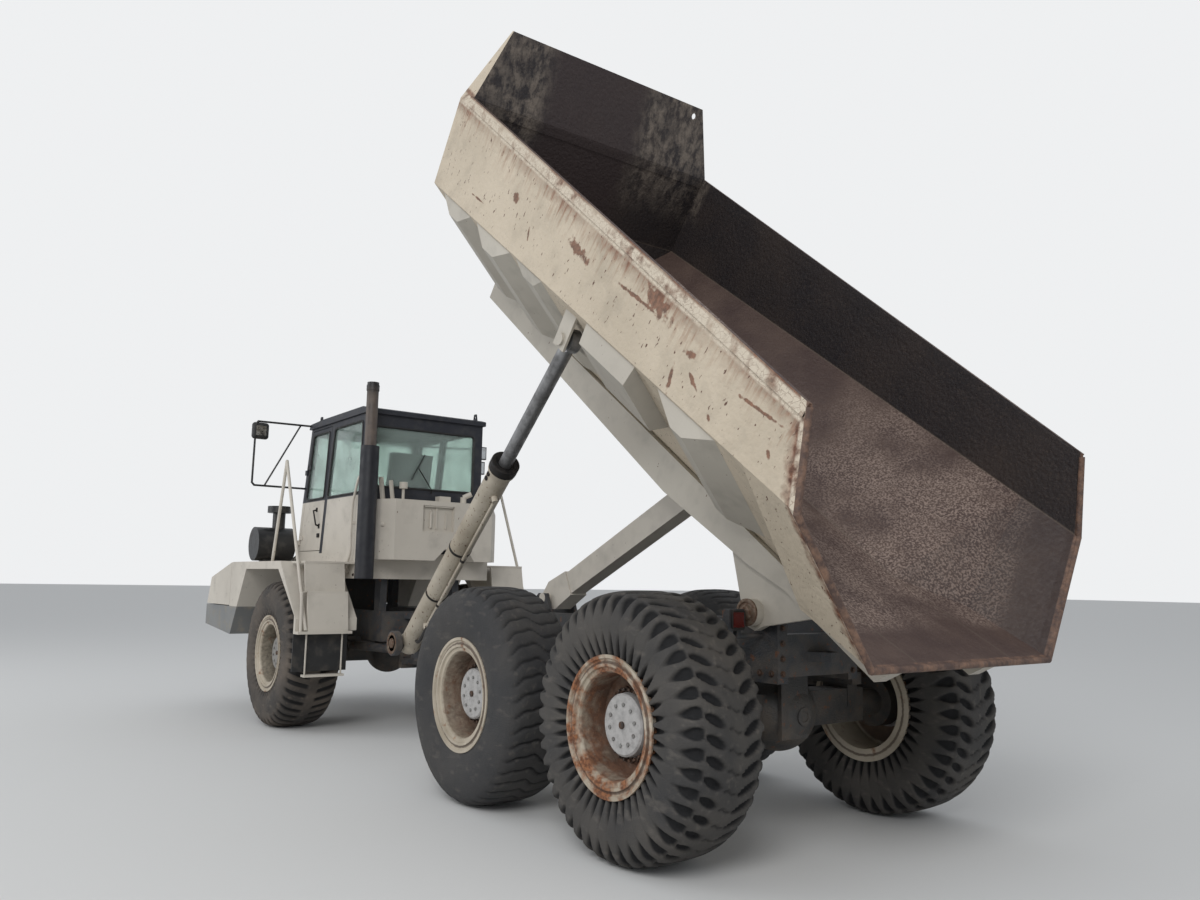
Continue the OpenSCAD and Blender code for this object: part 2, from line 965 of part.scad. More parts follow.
// the line the hood tips forward on
hood_axis = [-6815, 1240];

module hood() {
    color(dark)
        placed()
            both_sides() {
                slab([
                    [-6827, 1240], [-6803, 1240], [-6803, 1253], [-6755, 1253], [-6755, 1285], [-6827, 1285]
                ], 400, 428);
                pin_y(hood_axis[0], hood_axis[1], 400, 470, 13 - run);
            }
    color(cream)
        placed()
            difference() {
                union() {
                    difference() {
                        slab([[-6780, 1255], [-6650, 1586], [-5798, 1770], [-5798, 1255]], -1435, 1435);
                        slab([
                            [-6735, 1200], [-6612, 1545], [-5760, 1728], [-5700, 1728], [-5700, 1200]
                        ], -1395, 1395);
                    }
                    slab([[-5840, 1722], [-5402, 1850], [-5402, 1890], [-5840, 1762]], -768, 768);
                }
                // grille slots in the nose
                for (i = [0:5])
                    block([-6900, -620, 1300 + 44 * i], [-6590, 620, 1322 + 44 * i]);
            }
}

module bumper() {
    color(grey)
        placed() {
            slab([
                [-6796, 996], [-6796, 1245], [-5491, 1245], [-5690, 930], [-5712, 914]
            ], -1435, -880);
            slab([
                [-6796, 996], [-6796, 1245], [-5491, 1245], [-5690, 930], [-5712, 914]
            ], 880, 1435);
            block([-6796, -880, 996], [-6640, 880, 1245]);
            // lugs of the hood's hinge
            both_sides()
                difference() {
                    slab([
                        [-6796, 1200], [-6796, 1245], [-6803, 1262], [-6827, 1262], [-6834, 1240],
                        [-6827, 1215]
                    ], 436, 456);
                    pin_y(hood_axis[0], hood_axis[1], 400, 500, 13);
                }
        }
}

module fenders() {
    color(cream)
        placed()
            both_sides()
                slab([
                    [-5790, 1245], [-5790, 1770], [-5700, 1775], [-4020, 1775], [-3440, 1180],
                    [-3440, 1059], [-3491, 1059], [-3491, 1215], [-4072, 1690], [-5205, 1690],
                    [-5491, 1245]
                ], 780, 1435);
}

module steps() {
    color(cream)
        placed()
            both_sides() {
                block([-3491, 860, 1030], [-3350, 1435, 1059]);
                slab([[-3410, 1059], [-3365, 1059], [-3420, 1440], [-3445, 1440]], 900, 1330);
                block([-3620, 900, 1440], [-3420, 1330, 1462]);
                slab([[-3520, 1462], [-3500, 1462], [-3560, 1755], [-3580, 1755]], 900, 1330);
                block([-3960, 780, 1755], [-3555, 1330, 1775]);
                // hand loop beside the treads
                bar([-3375, 1400, 1050], [-3400, 1400, 1440], 15);
                translate([-3400, 1400, 1440])
                    sphere(r = 15.5, $fn = 24);
                bar([-3400, 1400, 1440], [-3520, 1300, 1451], 15);
                // folding bottom step
                block([-3470, 920, 600], [-3370, 1340, 622]);
                bar([-3420, 940, 610], [-3420, 940, 1040], 9);
                bar([-3420, 1320, 610], [-3420, 1320, 1040], 9);
            }
}

module mudflaps() {
    color(black)
        placed()
            both_sides()
                block([-3491, 860, 650], [-3479, 1435, 1030]);
}

module handrails() {
    color(cream)
        placed()
            both_sides() {
                bar([-4240, 1355, 2880], [-3358, 1355, 1067], 17);
                bar([-4240, 1355, 2880], [-4527, 1355, 1780], 17);
                translate([-4240, 1355, 2880])
                    sphere(r = 18);
            }
}

module air_cleaner() {
    color(black)
        placed() {
            pin_y(-5600, 2000, -1250, -800, 205);
            block([-5680, -1150, 1775], [-5520, -880, 1860]);
            translate([-5600, -960, 2150])
                cylinder(h = 260, r = 75);
            translate([-5600, -960, 2390])
                cylinder(h = 80, r = 140);
        }
}

module exhaust() {
    color(dark)
        placed() {
            difference() {
                union() {
                    translate([-3240, -812, 2950])
                        cylinder(h = 740, r = 62);
                    translate([-3240, -812, 3600])
                        cylinder(h = 60, r = 68);
                }
                translate([-3240, -812, 3400])
                    cylinder(h = 400, r = 52);
            }
            // heat shroud round the silencer, with its brackets to the cab
            translate([-3240, -812, 1600])
                cylinder(h = 1400, r = 98);
            block([cab_rear, -782, 1700], [-3240, -740, 1760]);
            block([cab_rear, -782, 2700], [-3240, -740, 2750]);
        }
}

// outline of the tank's back in Y and Z
tank_back = [
    [-640, 1805], [-60, 1805], [60, 1930], [340, 1930], [430, 1805], [730, 1805],
    [730, 2340], [640, 2452], [-640, 2452]
];

module hydraulic_tank() {
    color(cream)
        placed()
            difference() {
                union() {
                    intersection() {
                        section(tank_back, cab_rear, -3125);
                        translate([0, 0, 1700])
                            linear_extrude(height = 900)
                                polygon([
                                    [cab_rear, -640], [-3290, -640], [-3125, -540], [-3125, 640],
                                    [-3200, 730], [cab_rear, 730]
                                ]);
                    }
                    // fillers and breathers on the tank's top
                    translate([-3300, -380, 2440])
                        cylinder(h = 150, r = 16);
                    translate([-3300, -380, 2580])
                        cylinder(h = 70, r = 45);
                    block([-3340, 30, 2440], [-3240, 170, 2520]);
                    translate([-3280, 350, 2440])
                        cylinder(h = 90, r = 34);
                    bar([-3280, 350, 2525], [-3240, 430, 2570], 30);
                }
                // recess with the sight glass
                block([-3165, -215, 2120], [-3100, 165, 2400]);
            }
}

// corners of the left mirror's tube loop, from the roof's corner round to the screen's foot
mirror_loop = [
    [-5100, cab_left - 26, 3440], [-5150, -1425, 3440], [-5155, -1450, 3405], [-5200, -1440, 2710],
    [-5205, -1410, 2680], [-5230, cab_left - 13, 2680]
];

module mirrors() {
    color(black)
        placed() {
            for (i = [0:len(mirror_loop) - 2]) {
                bar(mirror_loop[i], mirror_loop[i + 1], 12);
                translate(mirror_loop[i + 1])
                    sphere(r = 12.5, $fn = 24);
            }
            bar([-5110, -925, 3440], [-5210, -1290, 2680], 10);
            hull()
                both_sides_of(-1388)
                    translate([-5175, 62, 0])
                        for (z = [3268, 3392])
                            translate([0, 0, z])
                                sphere(r = 38, $fn = 16);
            // pair of mirrors on the right
            bar([-5051, cab_right + 4.5, 3330], [-4800, 1380, 3330], 12);
            bar([-4800, 1380, 3330], [-4800, 1380, 3010], 12);
            block([-4830, 1300, 3200], [-4780, 1490, 3370]);
            block([-4830, 1310, 3000], [-4780, 1470, 3170]);
        }
}

module front_lamps() {
    color([0.8, 0.8, 0.75])
        placed()
            both_sides()
                translate([-6820, 1150, 1120])
                    rotate([0, 90, 0])
                        cylinder(h = 24, r = 75);
}

rear_frame();
rear_axles();
bogie_beams();
rear_lamps();
tow_tongue();
hitch_block();
dump_body();
body_beams();
body_prop();
hoist_barrel();
hoist_rod();
steer_barrel_left();
steer_rod_left();
steer_barrel_right();
steer_rod_right();
tyre_front_left();
rim_front_left();
tyre_front_right();
rim_front_right();
tyre_mid_left();
rim_mid_left();
tyre_mid_right();
rim_mid_right();
tyre_rear_left();
rim_rear_left();
tyre_rear_right();
rim_rear_right();
front_frame();
front_axle();
engine_block();
cab_base();
cab_shell();
cab_roof();
cab_glass();
cab_door();
door_glass();
operator_seat();
steering_wheel();
hood();
bumper();
fenders();
steps();
mudflaps();
handrails();
air_cleaner();
exhaust();
hydraulic_tank();
mirrors();
front_lamps();
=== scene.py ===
import math
import bmesh
import bpy
import numpy as np
from mathutils import Matrix, Vector


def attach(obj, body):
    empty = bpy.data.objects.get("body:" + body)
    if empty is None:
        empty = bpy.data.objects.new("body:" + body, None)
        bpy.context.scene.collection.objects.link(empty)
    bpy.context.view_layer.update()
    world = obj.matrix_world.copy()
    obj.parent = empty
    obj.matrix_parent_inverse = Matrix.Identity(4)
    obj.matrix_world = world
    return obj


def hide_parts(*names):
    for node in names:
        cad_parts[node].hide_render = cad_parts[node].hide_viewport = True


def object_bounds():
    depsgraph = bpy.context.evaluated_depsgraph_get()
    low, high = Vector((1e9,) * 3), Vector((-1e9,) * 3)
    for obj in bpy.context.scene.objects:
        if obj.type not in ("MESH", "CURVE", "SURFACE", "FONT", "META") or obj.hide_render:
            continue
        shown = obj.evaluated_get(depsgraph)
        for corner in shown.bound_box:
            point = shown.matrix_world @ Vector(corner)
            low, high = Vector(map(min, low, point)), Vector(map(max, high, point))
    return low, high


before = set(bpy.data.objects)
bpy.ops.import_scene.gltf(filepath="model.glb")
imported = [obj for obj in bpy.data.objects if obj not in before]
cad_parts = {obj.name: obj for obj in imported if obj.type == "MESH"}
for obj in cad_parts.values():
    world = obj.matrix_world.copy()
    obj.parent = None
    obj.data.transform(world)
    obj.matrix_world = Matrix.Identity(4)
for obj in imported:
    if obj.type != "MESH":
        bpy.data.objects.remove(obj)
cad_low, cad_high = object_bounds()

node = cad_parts
scene = bpy.context.scene
# the middle axle's distance behind the frame's origin
mid_axle = 1.787

yaw, pitch, roll = math.radians(53.33), math.radians(7.89), math.radians(0.95)
gaze = Vector((-math.sin(yaw) * math.cos(pitch), math.cos(yaw) * math.cos(pitch), math.sin(pitch)))
level = gaze.cross(Vector((0, 0, 1))).normalized()
crown = level.cross(gaze)
across = level * math.cos(roll) + crown * math.sin(roll)
upward = crown * math.cos(roll) - level * math.sin(roll)
eye = bpy.data.objects.new("eye", bpy.data.cameras.new("eye"))
eye.data.sensor_width = 36
eye.data.lens = 28.54
eye.data.clip_start = 0.1
eye.data.clip_end = 400
eye.matrix_world = Matrix.Translation((mid_axle + 6.280, -4.846, 1.607)) @ Matrix(
    (across, upward, -gaze)).transposed().to_4x4()
scene.collection.objects.link(eye)
scene.camera = eye

sky = bpy.data.worlds.new("studio")
sky.use_nodes = True
sky_tree = sky.node_tree
lit = sky_tree.nodes["Background"]
lit.inputs["Color"].default_value = (0.93, 0.96, 1.0, 1)
lit.inputs["Strength"].default_value = 0.62
plain = sky_tree.nodes.new("ShaderNodeBackground")
plain.inputs["Color"].default_value = (0.86, 0.87, 0.88, 1)
plain.inputs["Strength"].default_value = 1.0
rays = sky_tree.nodes.new("ShaderNodeLightPath")
seen = sky_tree.nodes.new("ShaderNodeMath")
seen.operation = "MAXIMUM"
sky_tree.links.new(rays.outputs["Is Camera Ray"], seen.inputs[0])
sky_tree.links.new(rays.outputs["Is Transmission Ray"], seen.inputs[1])
either = sky_tree.nodes.new("ShaderNodeMixShader")
sky_tree.links.new(seen.outputs[0], either.inputs["Fac"])
sky_tree.links.new(lit.outputs[0], either.inputs[1])
sky_tree.links.new(plain.outputs[0], either.inputs[2])
sky_tree.links.new(either.outputs[0], sky_tree.nodes["World Output"].inputs["Surface"])
scene.world = sky

for name, place, aim, size, power in (
        ("key_lamp", (13, -13, 12), (1, 0, 2), 9, 1500),
        ("fill_lamp", (-9, -14, 7), (-2, 0, 2), 9, 500)):
    lamp = bpy.data.objects.new(name, bpy.data.lights.new(name, "AREA"))
    lamp.data.shape = "DISK"
    lamp.data.size = size
    lamp.data.energy = power
    lamp.location = place
    lamp.rotation_euler = (Vector(aim) - Vector(place)).to_track_quat("-Z", "Y").to_euler()
    scene.collection.objects.link(lamp)

far = 150
ground = bpy.data.meshes.new("floor")
ground.from_pydata([(-far, -far, 0), (far, -far, 0), (far, far, 0), (-far, far, 0)], [], [(0, 1, 2, 3)])
floor = bpy.data.objects.new("floor", ground)
floor.location.z = cad_low.z
scene.collection.objects.link(floor)
pale = bpy.data.materials.new("pale_floor")
pale.use_nodes = True
pale.node_tree.nodes["Principled BSDF"].inputs["Base Color"].default_value = (0.66, 0.66, 0.65, 1)
pale.node_tree.nodes["Principled BSDF"].inputs["Roughness"].default_value = 0.9
ground.materials.append(pale)
scene.view_settings.view_transform = "Standard"

# --- Chassis of the rear unit ---
# Welded plate rails on cross members, driven axles and balance beams, brushed with dark grey
# paint that the hitch, the front frame and the steering barrels share. Mud has dried on the lower
# parts, and the paint has worn to rust in specks.


def new_finish(name, roughness, metallic=0.0):
    """a material, its tree, its shader and the object's own coordinates"""
    made = bpy.data.materials.new(name)
    made.use_nodes = True
    tree = made.node_tree
    shader = tree.nodes["Principled BSDF"]
    shader.inputs["Roughness"].default_value = roughness
    shader.inputs["Metallic"].default_value = metallic
    place = tree.nodes.new("ShaderNodeTexCoord").outputs["Object"]
    return made, tree, shader, place


def number(tree, what, a, b=None, clamp=False):
    """one step of arithmetic on a mask"""
    step = tree.nodes.new("ShaderNodeMath")
    step.operation = what
    step.use_clamp = clamp
    for socket, value in zip(step.inputs, (a, b)):
        if isinstance(value, (int, float)):
            socket.default_value = value
        elif value is not None:
            tree.links.new(value, socket)
    return step.outputs[0]


def folded(tree, what, first, *others):
    """all of the values put together by one kind of arithmetic"""
    for other in others:
        first = number(tree, what, first, other)
    return first


def times(tree, *values):
    return folded(tree, "MULTIPLY", *values)


def between(tree, value, low, high):
    """a mask that is 0 at low and 1 at high"""
    step = tree.nodes.new("ShaderNodeMapRange")
    tree.links.new(value, step.inputs["Value"])
    step.inputs["From Min"].default_value = low
    step.inputs["From Max"].default_value = high
    return step.outputs["Result"]


def patches(tree, place, size, low, high, detail=5, stretch=(1, 1, 1), turn=(0, 0, 0), rough=0.55):
    """a mask of cloudy patches; size is across one patch in metres"""
    moved = tree.nodes.new("ShaderNodeMapping")
    moved.inputs["Scale"].default_value = [1 / s for s in stretch]
    moved.inputs["Rotation"].default_value = [math.radians(t) for t in turn]
    tree.links.new(place, moved.inputs["Vector"])
    noise = tree.nodes.new("ShaderNodeTexNoise")
    noise.inputs["Scale"].default_value = 1 / size
    noise.inputs["Detail"].default_value = detail
    noise.inputs["Roughness"].default_value = rough
    tree.links.new(moved.outputs[0], noise.inputs["Vector"])
    return between(tree, noise.outputs["Fac"], low, high)


def over(tree, mask, under, upper):
    """one colour laid over another where the mask is 1"""
    mix = tree.nodes.new("ShaderNodeMix")
    mix.data_type = "RGBA"
    tree.links.new(mask, mix.inputs["Factor"])
    for socket, value in ((mix.inputs[6], under), (mix.inputs[7], upper)):
        if isinstance(value, tuple):
            socket.default_value = (*value, 1)
        else:
            tree.links.new(value, socket)
    return mix.outputs[2]


def raised(tree, shader, height, distance, strength=1.0):
    """bump from a height mask; distance is its depth in metres"""
    bump = tree.nodes.new("ShaderNodeBump")
    bump.inputs["Distance"].default_value = distance
    bump.inputs["Strength"].default_value = strength
    tree.links.new(height, bump.inputs["Height"])
    tree.links.new(bump.outputs[0], shader.inputs["Normal"])


def painted(tree, shader, coat, roughness):
    """the shader's colour and roughness"""
    tree.links.new(coat, shader.inputs["Base Color"])
    tree.links.new(roughness, shader.inputs["Roughness"])


def shade(colour, by):
    """the same colour, lighter or darker"""
    return tuple(c * by for c in colour)


def coordinate(tree, place, axis):
    """one of X, Y and Z of the object's coordinates"""
    split = tree.nodes.new("ShaderNodeSeparateXYZ")
    tree.links.new(place, split.inputs[0])
    return split.outputs[axis]


def dress(finish, *names):
    """the finish on all of these CAD nodes"""
    for name in names:
        mesh = node[name].data
        mesh.materials.clear()
        mesh.materials.append(finish)


def chassis_finish(name, base, mud, mud_from, mud_to):
    """brushed paint with specks of rust, and mud that is full at mud_from and gone at mud_to"""
    finish, tree, shader, place = new_finish(name, 0.62)
    coat = over(tree, patches(tree, place, 0.55, 0.35, 0.7), base, shade(base, 1.7))
    low = between(tree, coordinate(tree, place, "Z"), mud_to, mud_from)
    caked = number(tree, "MULTIPLY", low, patches(tree, place, 0.12, 0.38, 0.62, 8), clamp=True)
    coat = over(tree, caked, coat, mud)
    coat = over(tree, patches(tree, place, 0.05, 0.62, 0.7, 8), coat, (0.13, 0.055, 0.028))
    painted(tree, shader, coat, between(tree, caked, -1.2, 1.0))
    relief = number(tree, "ADD", caked, patches(tree, place, 0.012, 0.3, 0.8, 3))
    raised(tree, shader, relief, 0.004, 0.6)
    return finish


chassis_paint = chassis_finish("chassis_paint", (0.028, 0.03, 0.034), (0.14, 0.115, 0.09), 0.5, 1.6)
dress(chassis_paint, "rear_frame", "bogie_beams", "tow_tongue", "hitch_block", "front_frame",
      "steer_barrel_left", "steer_barrel_right")
axle_paint = chassis_finish("axle_paint", (0.03, 0.029, 0.028), (0.13, 0.105, 0.082), 0.3, 1.1)
dress(axle_paint, "rear_axles", "front_axle", "engine_block")


# --- Wheels ---
# Six earthmover tyres on deep steel rims. The front pair still has its bars, the middle pair is
# worn to shallow wavy ribs, and the rear pair to a smooth crown between round pits. Each tyre is
# one moulded pitch repeated round the wheel, and the pitches are welded.

pitches = 44
tyre_radius = 0.780
half_track = 1.142
both_sides = (("left", -1), ("right", 1))
axles = {"front": mid_axle - 4.336, "mid": mid_axle, "rear": mid_axle + 1.782}
# distance from the middle plane and radius, from the crown to the bead
carcass = [(0, .7795), (.06, .779), (.12, .777), (.175, .772), (.215, .762), (.246, .745), (.27, .715),
           (.284, .675), (.292, .625), (.293, .57), (.288, .51), (.279, .46), (.27, .425), (.262, .392)]


def smooth_path(points, count):
    """a smooth line through the points, in equal steps"""
    points = np.array(points, float)
    ends = np.vstack([2 * points[0] - points[1], points, 2 * points[-1] - points[-2]])
    fine = []
    for a, b, c, d in zip(ends, ends[1:], ends[2:], ends[3:]):
        for t in np.linspace(0, 1, 20, endpoint=False):
            fine.append(.5 * (2 * b + (c - a) * t + (2 * a - 5 * b + 4 * c - d) * t * t
                              + (3 * b - a - 3 * c + d) * t ** 3))
    fine = np.array(fine + [points[-1]])
    run = np.concatenate([[0], np.cumsum(np.linalg.norm(np.diff(fine, axis=0), axis=1))])
    steps = np.linspace(0, run[-1], count)
    return np.column_stack([np.interp(steps, run, fine[:, i]) for i in range(fine.shape[1])])


def basin(distance, edge, soft):
    """1 inside a hollow's edge and 0 outside, with a soft wall"""
    t = np.clip((edge - distance) / soft + .5, 0, 1)
    return t * t * (3 - 2 * t)


def bars(turn, out):
    """front tyre: slanted bars from the shoulder, a solid rib round the middle"""
    side = np.where(out < 0, 0.0, 0.5)
    along = (turn + side + np.abs(out) * 2.6) % 1
    gap = basin(np.abs(along - .5), .22, .1)
    return .028 * gap * basin(-np.abs(out), -.055, .03) * basin(np.abs(out), .272, .03)


def waves(turn, out):
    """middle tyre: shallow wavy grooves across a tread that is nearly gone"""
    along = (turn + .30 * np.sin(out * 17) + .1 * np.sin(out * 41)) % 1
    groove = basin(np.abs(along - .5), .075, .12)
    pillow = .007 * (1 - np.abs(np.sin(math.pi * (along - .5))) ** .6)
    return (.012 * groove + pillow) * basin(np.abs(out), .25, .05)


def pits(turn, out):
    """rear tyre: pits round the shoulders, which run on down the sidewalls, and long slanted
    grooves between them and the middle"""
    side = np.where(out < 0, 0.0, 0.5)
    far = np.abs(out)
    near = (turn + side + .5) % 1 - .5
    shoulder = basin(np.hypot(near * .105 / .034, (far - .248) / .040), 1, .35)
    slant = (turn + side + .5 + (far - .12) * 4.2 + .5) % 1 - .5
    long = basin(np.hypot(slant * .105 / .027, (far - .135) / .062), 1, .4)
    nick = basin(np.abs((turn + .15 * np.sin(out * 60)) % 1 - .5), .08, .1) * basin(far, .05, .02)
    return .030 * np.maximum(shoulder, long) + .012 * nick


def moulded_pitch(name, hollow, flip):
    """a strip of tyre one pitch long, closed across the bead"""
    outer = smooth_path(carcass, 34)
    line = np.vstack([outer[::-1] * [-1, 1], outer[1:]])
    tangent = np.gradient(line, axis=0)
    inward = np.column_stack([tangent[:, 1], -tangent[:, 0]])
    inward /= -np.linalg.norm(inward, axis=1)[:, None] * np.sign(inward[len(outer) - 1, 1])
    steps = 14
    verts, depth = [], []
    for i in range(steps + 1):
        turn = i / steps
        sunk = hollow(np.full(len(line), turn % 1), line[:, 0] * flip)
        angle = turn * 2 * math.pi / pitches
        for (y, r), (iy, ir), d in zip(line, inward, sunk):
            rr = r + ir * d
            verts.append((rr * math.sin(angle), y + iy * d, rr * math.cos(angle)))
            depth.append(d)
    wide = len(line)
    faces = []
    for i in range(steps):
        for j in range(wide):
            a, b = i * wide + j, i * wide + (j + 1) % wide
            faces.append((a, a + wide, b + wide, b))
    mesh = bpy.data.meshes.new(name)
    mesh.from_pydata(verts, [], faces)
    mesh.attributes.new("hollow", "FLOAT", "POINT").data.foreach_set("value", np.array(depth, np.float32))
    for face in mesh.polygons:
        face.use_smooth = True
    made = bpy.data.objects.new(name, mesh)
    scene.collection.objects.link(made)
    return made


def placing_tree(name, **kinds):
    """a tree that sets its geometry on a line of points and gives it a finish; its other inputs
    by their kinds"""
    tree = bpy.data.node_groups.new(name, "GeometryNodeTree")
    for socket, kind in {"Geometry": "Geometry", "Count": "Int", **kinds, "Finish": "Material"}.items():
        tree.interface.new_socket(socket, in_out="INPUT", socket_type="NodeSocket" + kind)
    tree.interface.new_socket("Geometry", in_out="OUTPUT", socket_type="NodeSocketGeometry")
    new, link = tree.nodes.new, tree.links.new
    given, made = new("NodeGroupInput"), new("NodeGroupOutput")
    line = new("GeometryNodeMeshLine")
    link(given.outputs["Count"], line.inputs["Count"])
    setting = new("GeometryNodeInstanceOnPoints")
    link(line.outputs["Mesh"], setting.inputs["Points"])
    link(given.outputs["Geometry"], setting.inputs["Instance"])
    real = new("GeometryNodeRealizeInstances")
    link(setting.outputs[0], real.inputs[0])
    finish = new("GeometryNodeSetMaterial")
    link(given.outputs["Finish"], finish.inputs["Material"])
    link(finish.outputs[0], made.inputs[0])
    return tree, given, line, setting, real, finish


def repeat_round():
    """a tree that sets its geometry round the Y axis, a count of times, and welds what meets"""
    tree, given, line, setting, real, finish = placing_tree("repeat_round", Start="Float", Weld="Float")
    new, link = tree.nodes.new, tree.links.new
    line.inputs["Offset"].default_value = (0, 0, 0)
    index = new("GeometryNodeInputIndex")
    step = new("ShaderNodeMath")
    step.operation = "DIVIDE"
    step.inputs[0].default_value = math.tau
    link(given.outputs["Count"], step.inputs[1])
    turn = new("ShaderNodeMath")
    turn.operation = "MULTIPLY_ADD"
    link(index.outputs[0], turn.inputs[0])
    link(step.outputs[0], turn.inputs[1])
    link(given.outputs["Start"], turn.inputs[2])
    spin = new("ShaderNodeCombineXYZ")
    link(turn.outputs[0], spin.inputs["Y"])
    link(spin.outputs[0], setting.inputs["Rotation"])
    weld = new("GeometryNodeMergeByDistance")
    link(real.outputs[0], weld.inputs["Geometry"])
    link(given.outputs["Weld"], weld.inputs["Distance"])
    link(weld.outputs[0], finish.inputs["Geometry"])
    return tree


def grown(tree, source, inputs, name):
    """the plain mesh that a tree makes of a source object, which is then removed"""
    step = source.modifiers.new(tree.name, "NODES")
    step.node_group = tree
    for socket in tree.interface.items_tree:
        if socket.in_out == "INPUT" and socket.name in inputs:
            step[socket.identifier] = inputs[socket.name]
    source.update_tag()
    bpy.context.view_layer.update()
    mesh = bpy.data.meshes.new_from_object(source.evaluated_get(bpy.context.evaluated_depsgraph_get()))
    source.modifiers.remove(step)
    bpy.data.objects.remove(source)
    mesh.name = name
    made = bpy.data.objects.new(name, mesh)
    scene.collection.objects.link(made)
    return made


def rubber_finish(name, land, hollow, wall, dust, dust_share):
    """dusty scuffed rubber, with painted shade darkening the hollows of the tread"""
    finish, tree, shader, place = new_finish(name, 0.8)
    depth = tree.nodes.new("ShaderNodeAttribute")
    depth.attribute_name = "hollow"
    coat = over(tree, patches(tree, place, 0.25, 0.35, 0.68, 6), wall, land)
    coat = over(tree, times(tree, patches(tree, place, 0.45, 0.38, 0.72, 7), dust_share), coat, dust)
    scuffs = patches(tree, place, 0.05, 0.56, 0.7, 8, stretch=(2.6, 1, 1), turn=(0, 35, 0))
    coat = over(tree, times(tree, scuffs, 0.5), coat, dust)
    # painted shade: the tread's hollows take the dark hollow colour by their depth
    coat = over(tree, between(tree, depth.outputs["Fac"], 0.004, 0.02), coat, hollow)
    painted(tree, shader, coat, between(tree, patches(tree, place, 0.15, -0.6, 1.2), -1.5, 1.2))
    fine = number(tree, "ADD", patches(tree, place, 0.05, 0.3, 0.7, 9),
                  patches(tree, place, 0.006, 0.3, 0.7, 2))
    raised(tree, shader, fine, 0.004, 0.7)
    return finish


round_tree = repeat_round()
# of each row: the tread, the finish's name, land, hollow (the painted shade in the tread's hollows), wall,
# dust and share of dust
for row, hollow, *look in (
        ("front", bars, "bar_rubber", (.05, .044, .039), (.014, .013, .013), (.042, .037, .033),
         (.15, .12, .095), 0.8),
        ("mid", waves, "wave_rubber", (.036, .036, .037), (.014, .014, .016), (.03, .03, .032),
         (.11, .098, .085), 0.35),
        ("rear", pits, "pit_rubber", (.062, .057, .051), (.006, .006, .007), (.036, .035, .035),
         (.13, .115, .10), 0.4)):
    rubber = rubber_finish(*look)
    for side, sign in both_sides:
        name = f"tyre_{row}_{side}"
        tyre = grown(round_tree, moulded_pitch("pitch_" + name, hollow, sign),
                     {"Count": pitches, "Start": 0.0, "Weld": 0.0006, "Finish": rubber}, "moulded_" + name)
        tyre.data.transform(Matrix.Translation((axles[row], sign * half_track, tyre_radius)))
        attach(tyre, f"wheel_{row}_{side}")
        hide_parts(name)

# --- Rims ---
# Rolled steel with a loose flange and lock ring, painted with the body. The dish is deep, the
# hub's end cover is bare primer grey behind a ring of nuts, and the left rear rim has gone to
# orange rust.


def vector_step(tree, what, a, b=None):
    """one step of arithmetic on a place or a direction"""
    step = tree.nodes.new("ShaderNodeVectorMath")
    step.operation = what
    for socket, value in zip(step.inputs, (a, b)):
        if isinstance(value, tuple):
            socket.default_value = value
        elif value is not None:
            tree.links.new(value, socket)
    return step.outputs["Value" if what == "LENGTH" else "Vector"]


def rim_finish(name, axle, rusty, dish, face):
    """rings of finish round one axle: the hub's cover, the brown dish and the painted flange"""
    finish, tree, shader, place = new_finish(name, 0.55)
    centred = vector_step(tree, "SUBTRACT", place, (axle, 0, tyre_radius))
    away = vector_step(tree, "LENGTH", vector_step(tree, "MULTIPLY", centred, (1, 0, 1)))
    away = number(tree, "ADD", away, times(tree, patches(tree, place, 0.03, 0, 1, 6), 0.016))
    coat = over(tree, patches(tree, place, 0.3, 0.35, 0.7), (.50, .44, .35), (.33, .28, .21))
    rust = patches(tree, place, 0.11, *rusty, 9)
    stain = over(tree, patches(tree, place, 0.02, 0.4, 0.6, 4), (.30, .13, .06), (.14, .06, .032))
    coat = over(tree, rust, coat, stain)
    grooves = times(tree, between(tree, away, 0.362, 0.366), between(tree, away, 0.384, 0.378), 0.75)
    coat = over(tree, grooves, coat, (.06, .035, .024))
    inner = over(tree, patches(tree, place, 0.09, 0.35, 0.65, 8), dish, shade(dish, 0.5))
    coat = over(tree, times(tree, between(tree, away, 0.318, 0.306), 0.85), coat, inner)
    hub = over(tree, patches(tree, place, 0.05, 0.45, 0.75, 8), face, shade(face, 0.6))
    coat = over(tree, between(tree, away, 0.200, 0.194), coat, hub)
    painted(tree, shader, coat, between(tree, rust, -1.5, 1.2))
    relief = number(tree, "ADD", rust, patches(tree, place, 0.008, 0.3, 0.7, 3))
    raised(tree, shader, relief, 0.003, 0.5)
    return finish


def turned(line, sides, centre=(0, 0, 0)):
    """corners and faces of a solid turned round an axis along Y; line is (height, radius) pairs"""
    corners, faces = [], []
    for height, radius in line:
        for k in range(sides):
            a = k * math.tau / sides
            corners.append((centre[0] + radius * math.sin(a), centre[1] + height,
                            centre[2] + radius * math.cos(a)))
    for i in range(len(line) - 1):
        for k in range(sides):
            a, b = i * sides + k, i * sides + (k + 1) % sides
            faces.append((a, b, b + sides, a + sides))
    faces.append(tuple(range(sides))[::-1])
    faces.append(tuple((len(line) - 1) * sides + k for k in range(sides)))
    return corners, faces


def joined(name, *solids):
    """one object of several solids, in the current scene"""
    corners, faces = [], []
    for more_corners, more_faces in solids:
        faces += [tuple(len(corners) + i for i in face) for face in more_faces]
        corners += more_corners
    mesh = bpy.data.meshes.new(name)
    mesh.from_pydata([tuple(c) for c in corners], [], faces)
    made = bpy.data.objects.new(name, mesh)
    scene.collection.objects.link(made)
    return made


def filmed(name, clean, dirty, roughness, metallic=0.5):
    """one colour under a patchy film of dirt or oil"""
    finish, tree, shader, place = new_finish(name, roughness, metallic)
    film = patches(tree, place, 0.03, 0.35, 0.65, 5)
    painted(tree, shader, over(tree, film, clean, dirty), between(tree, film, -0.8, 1.3))
    return finish


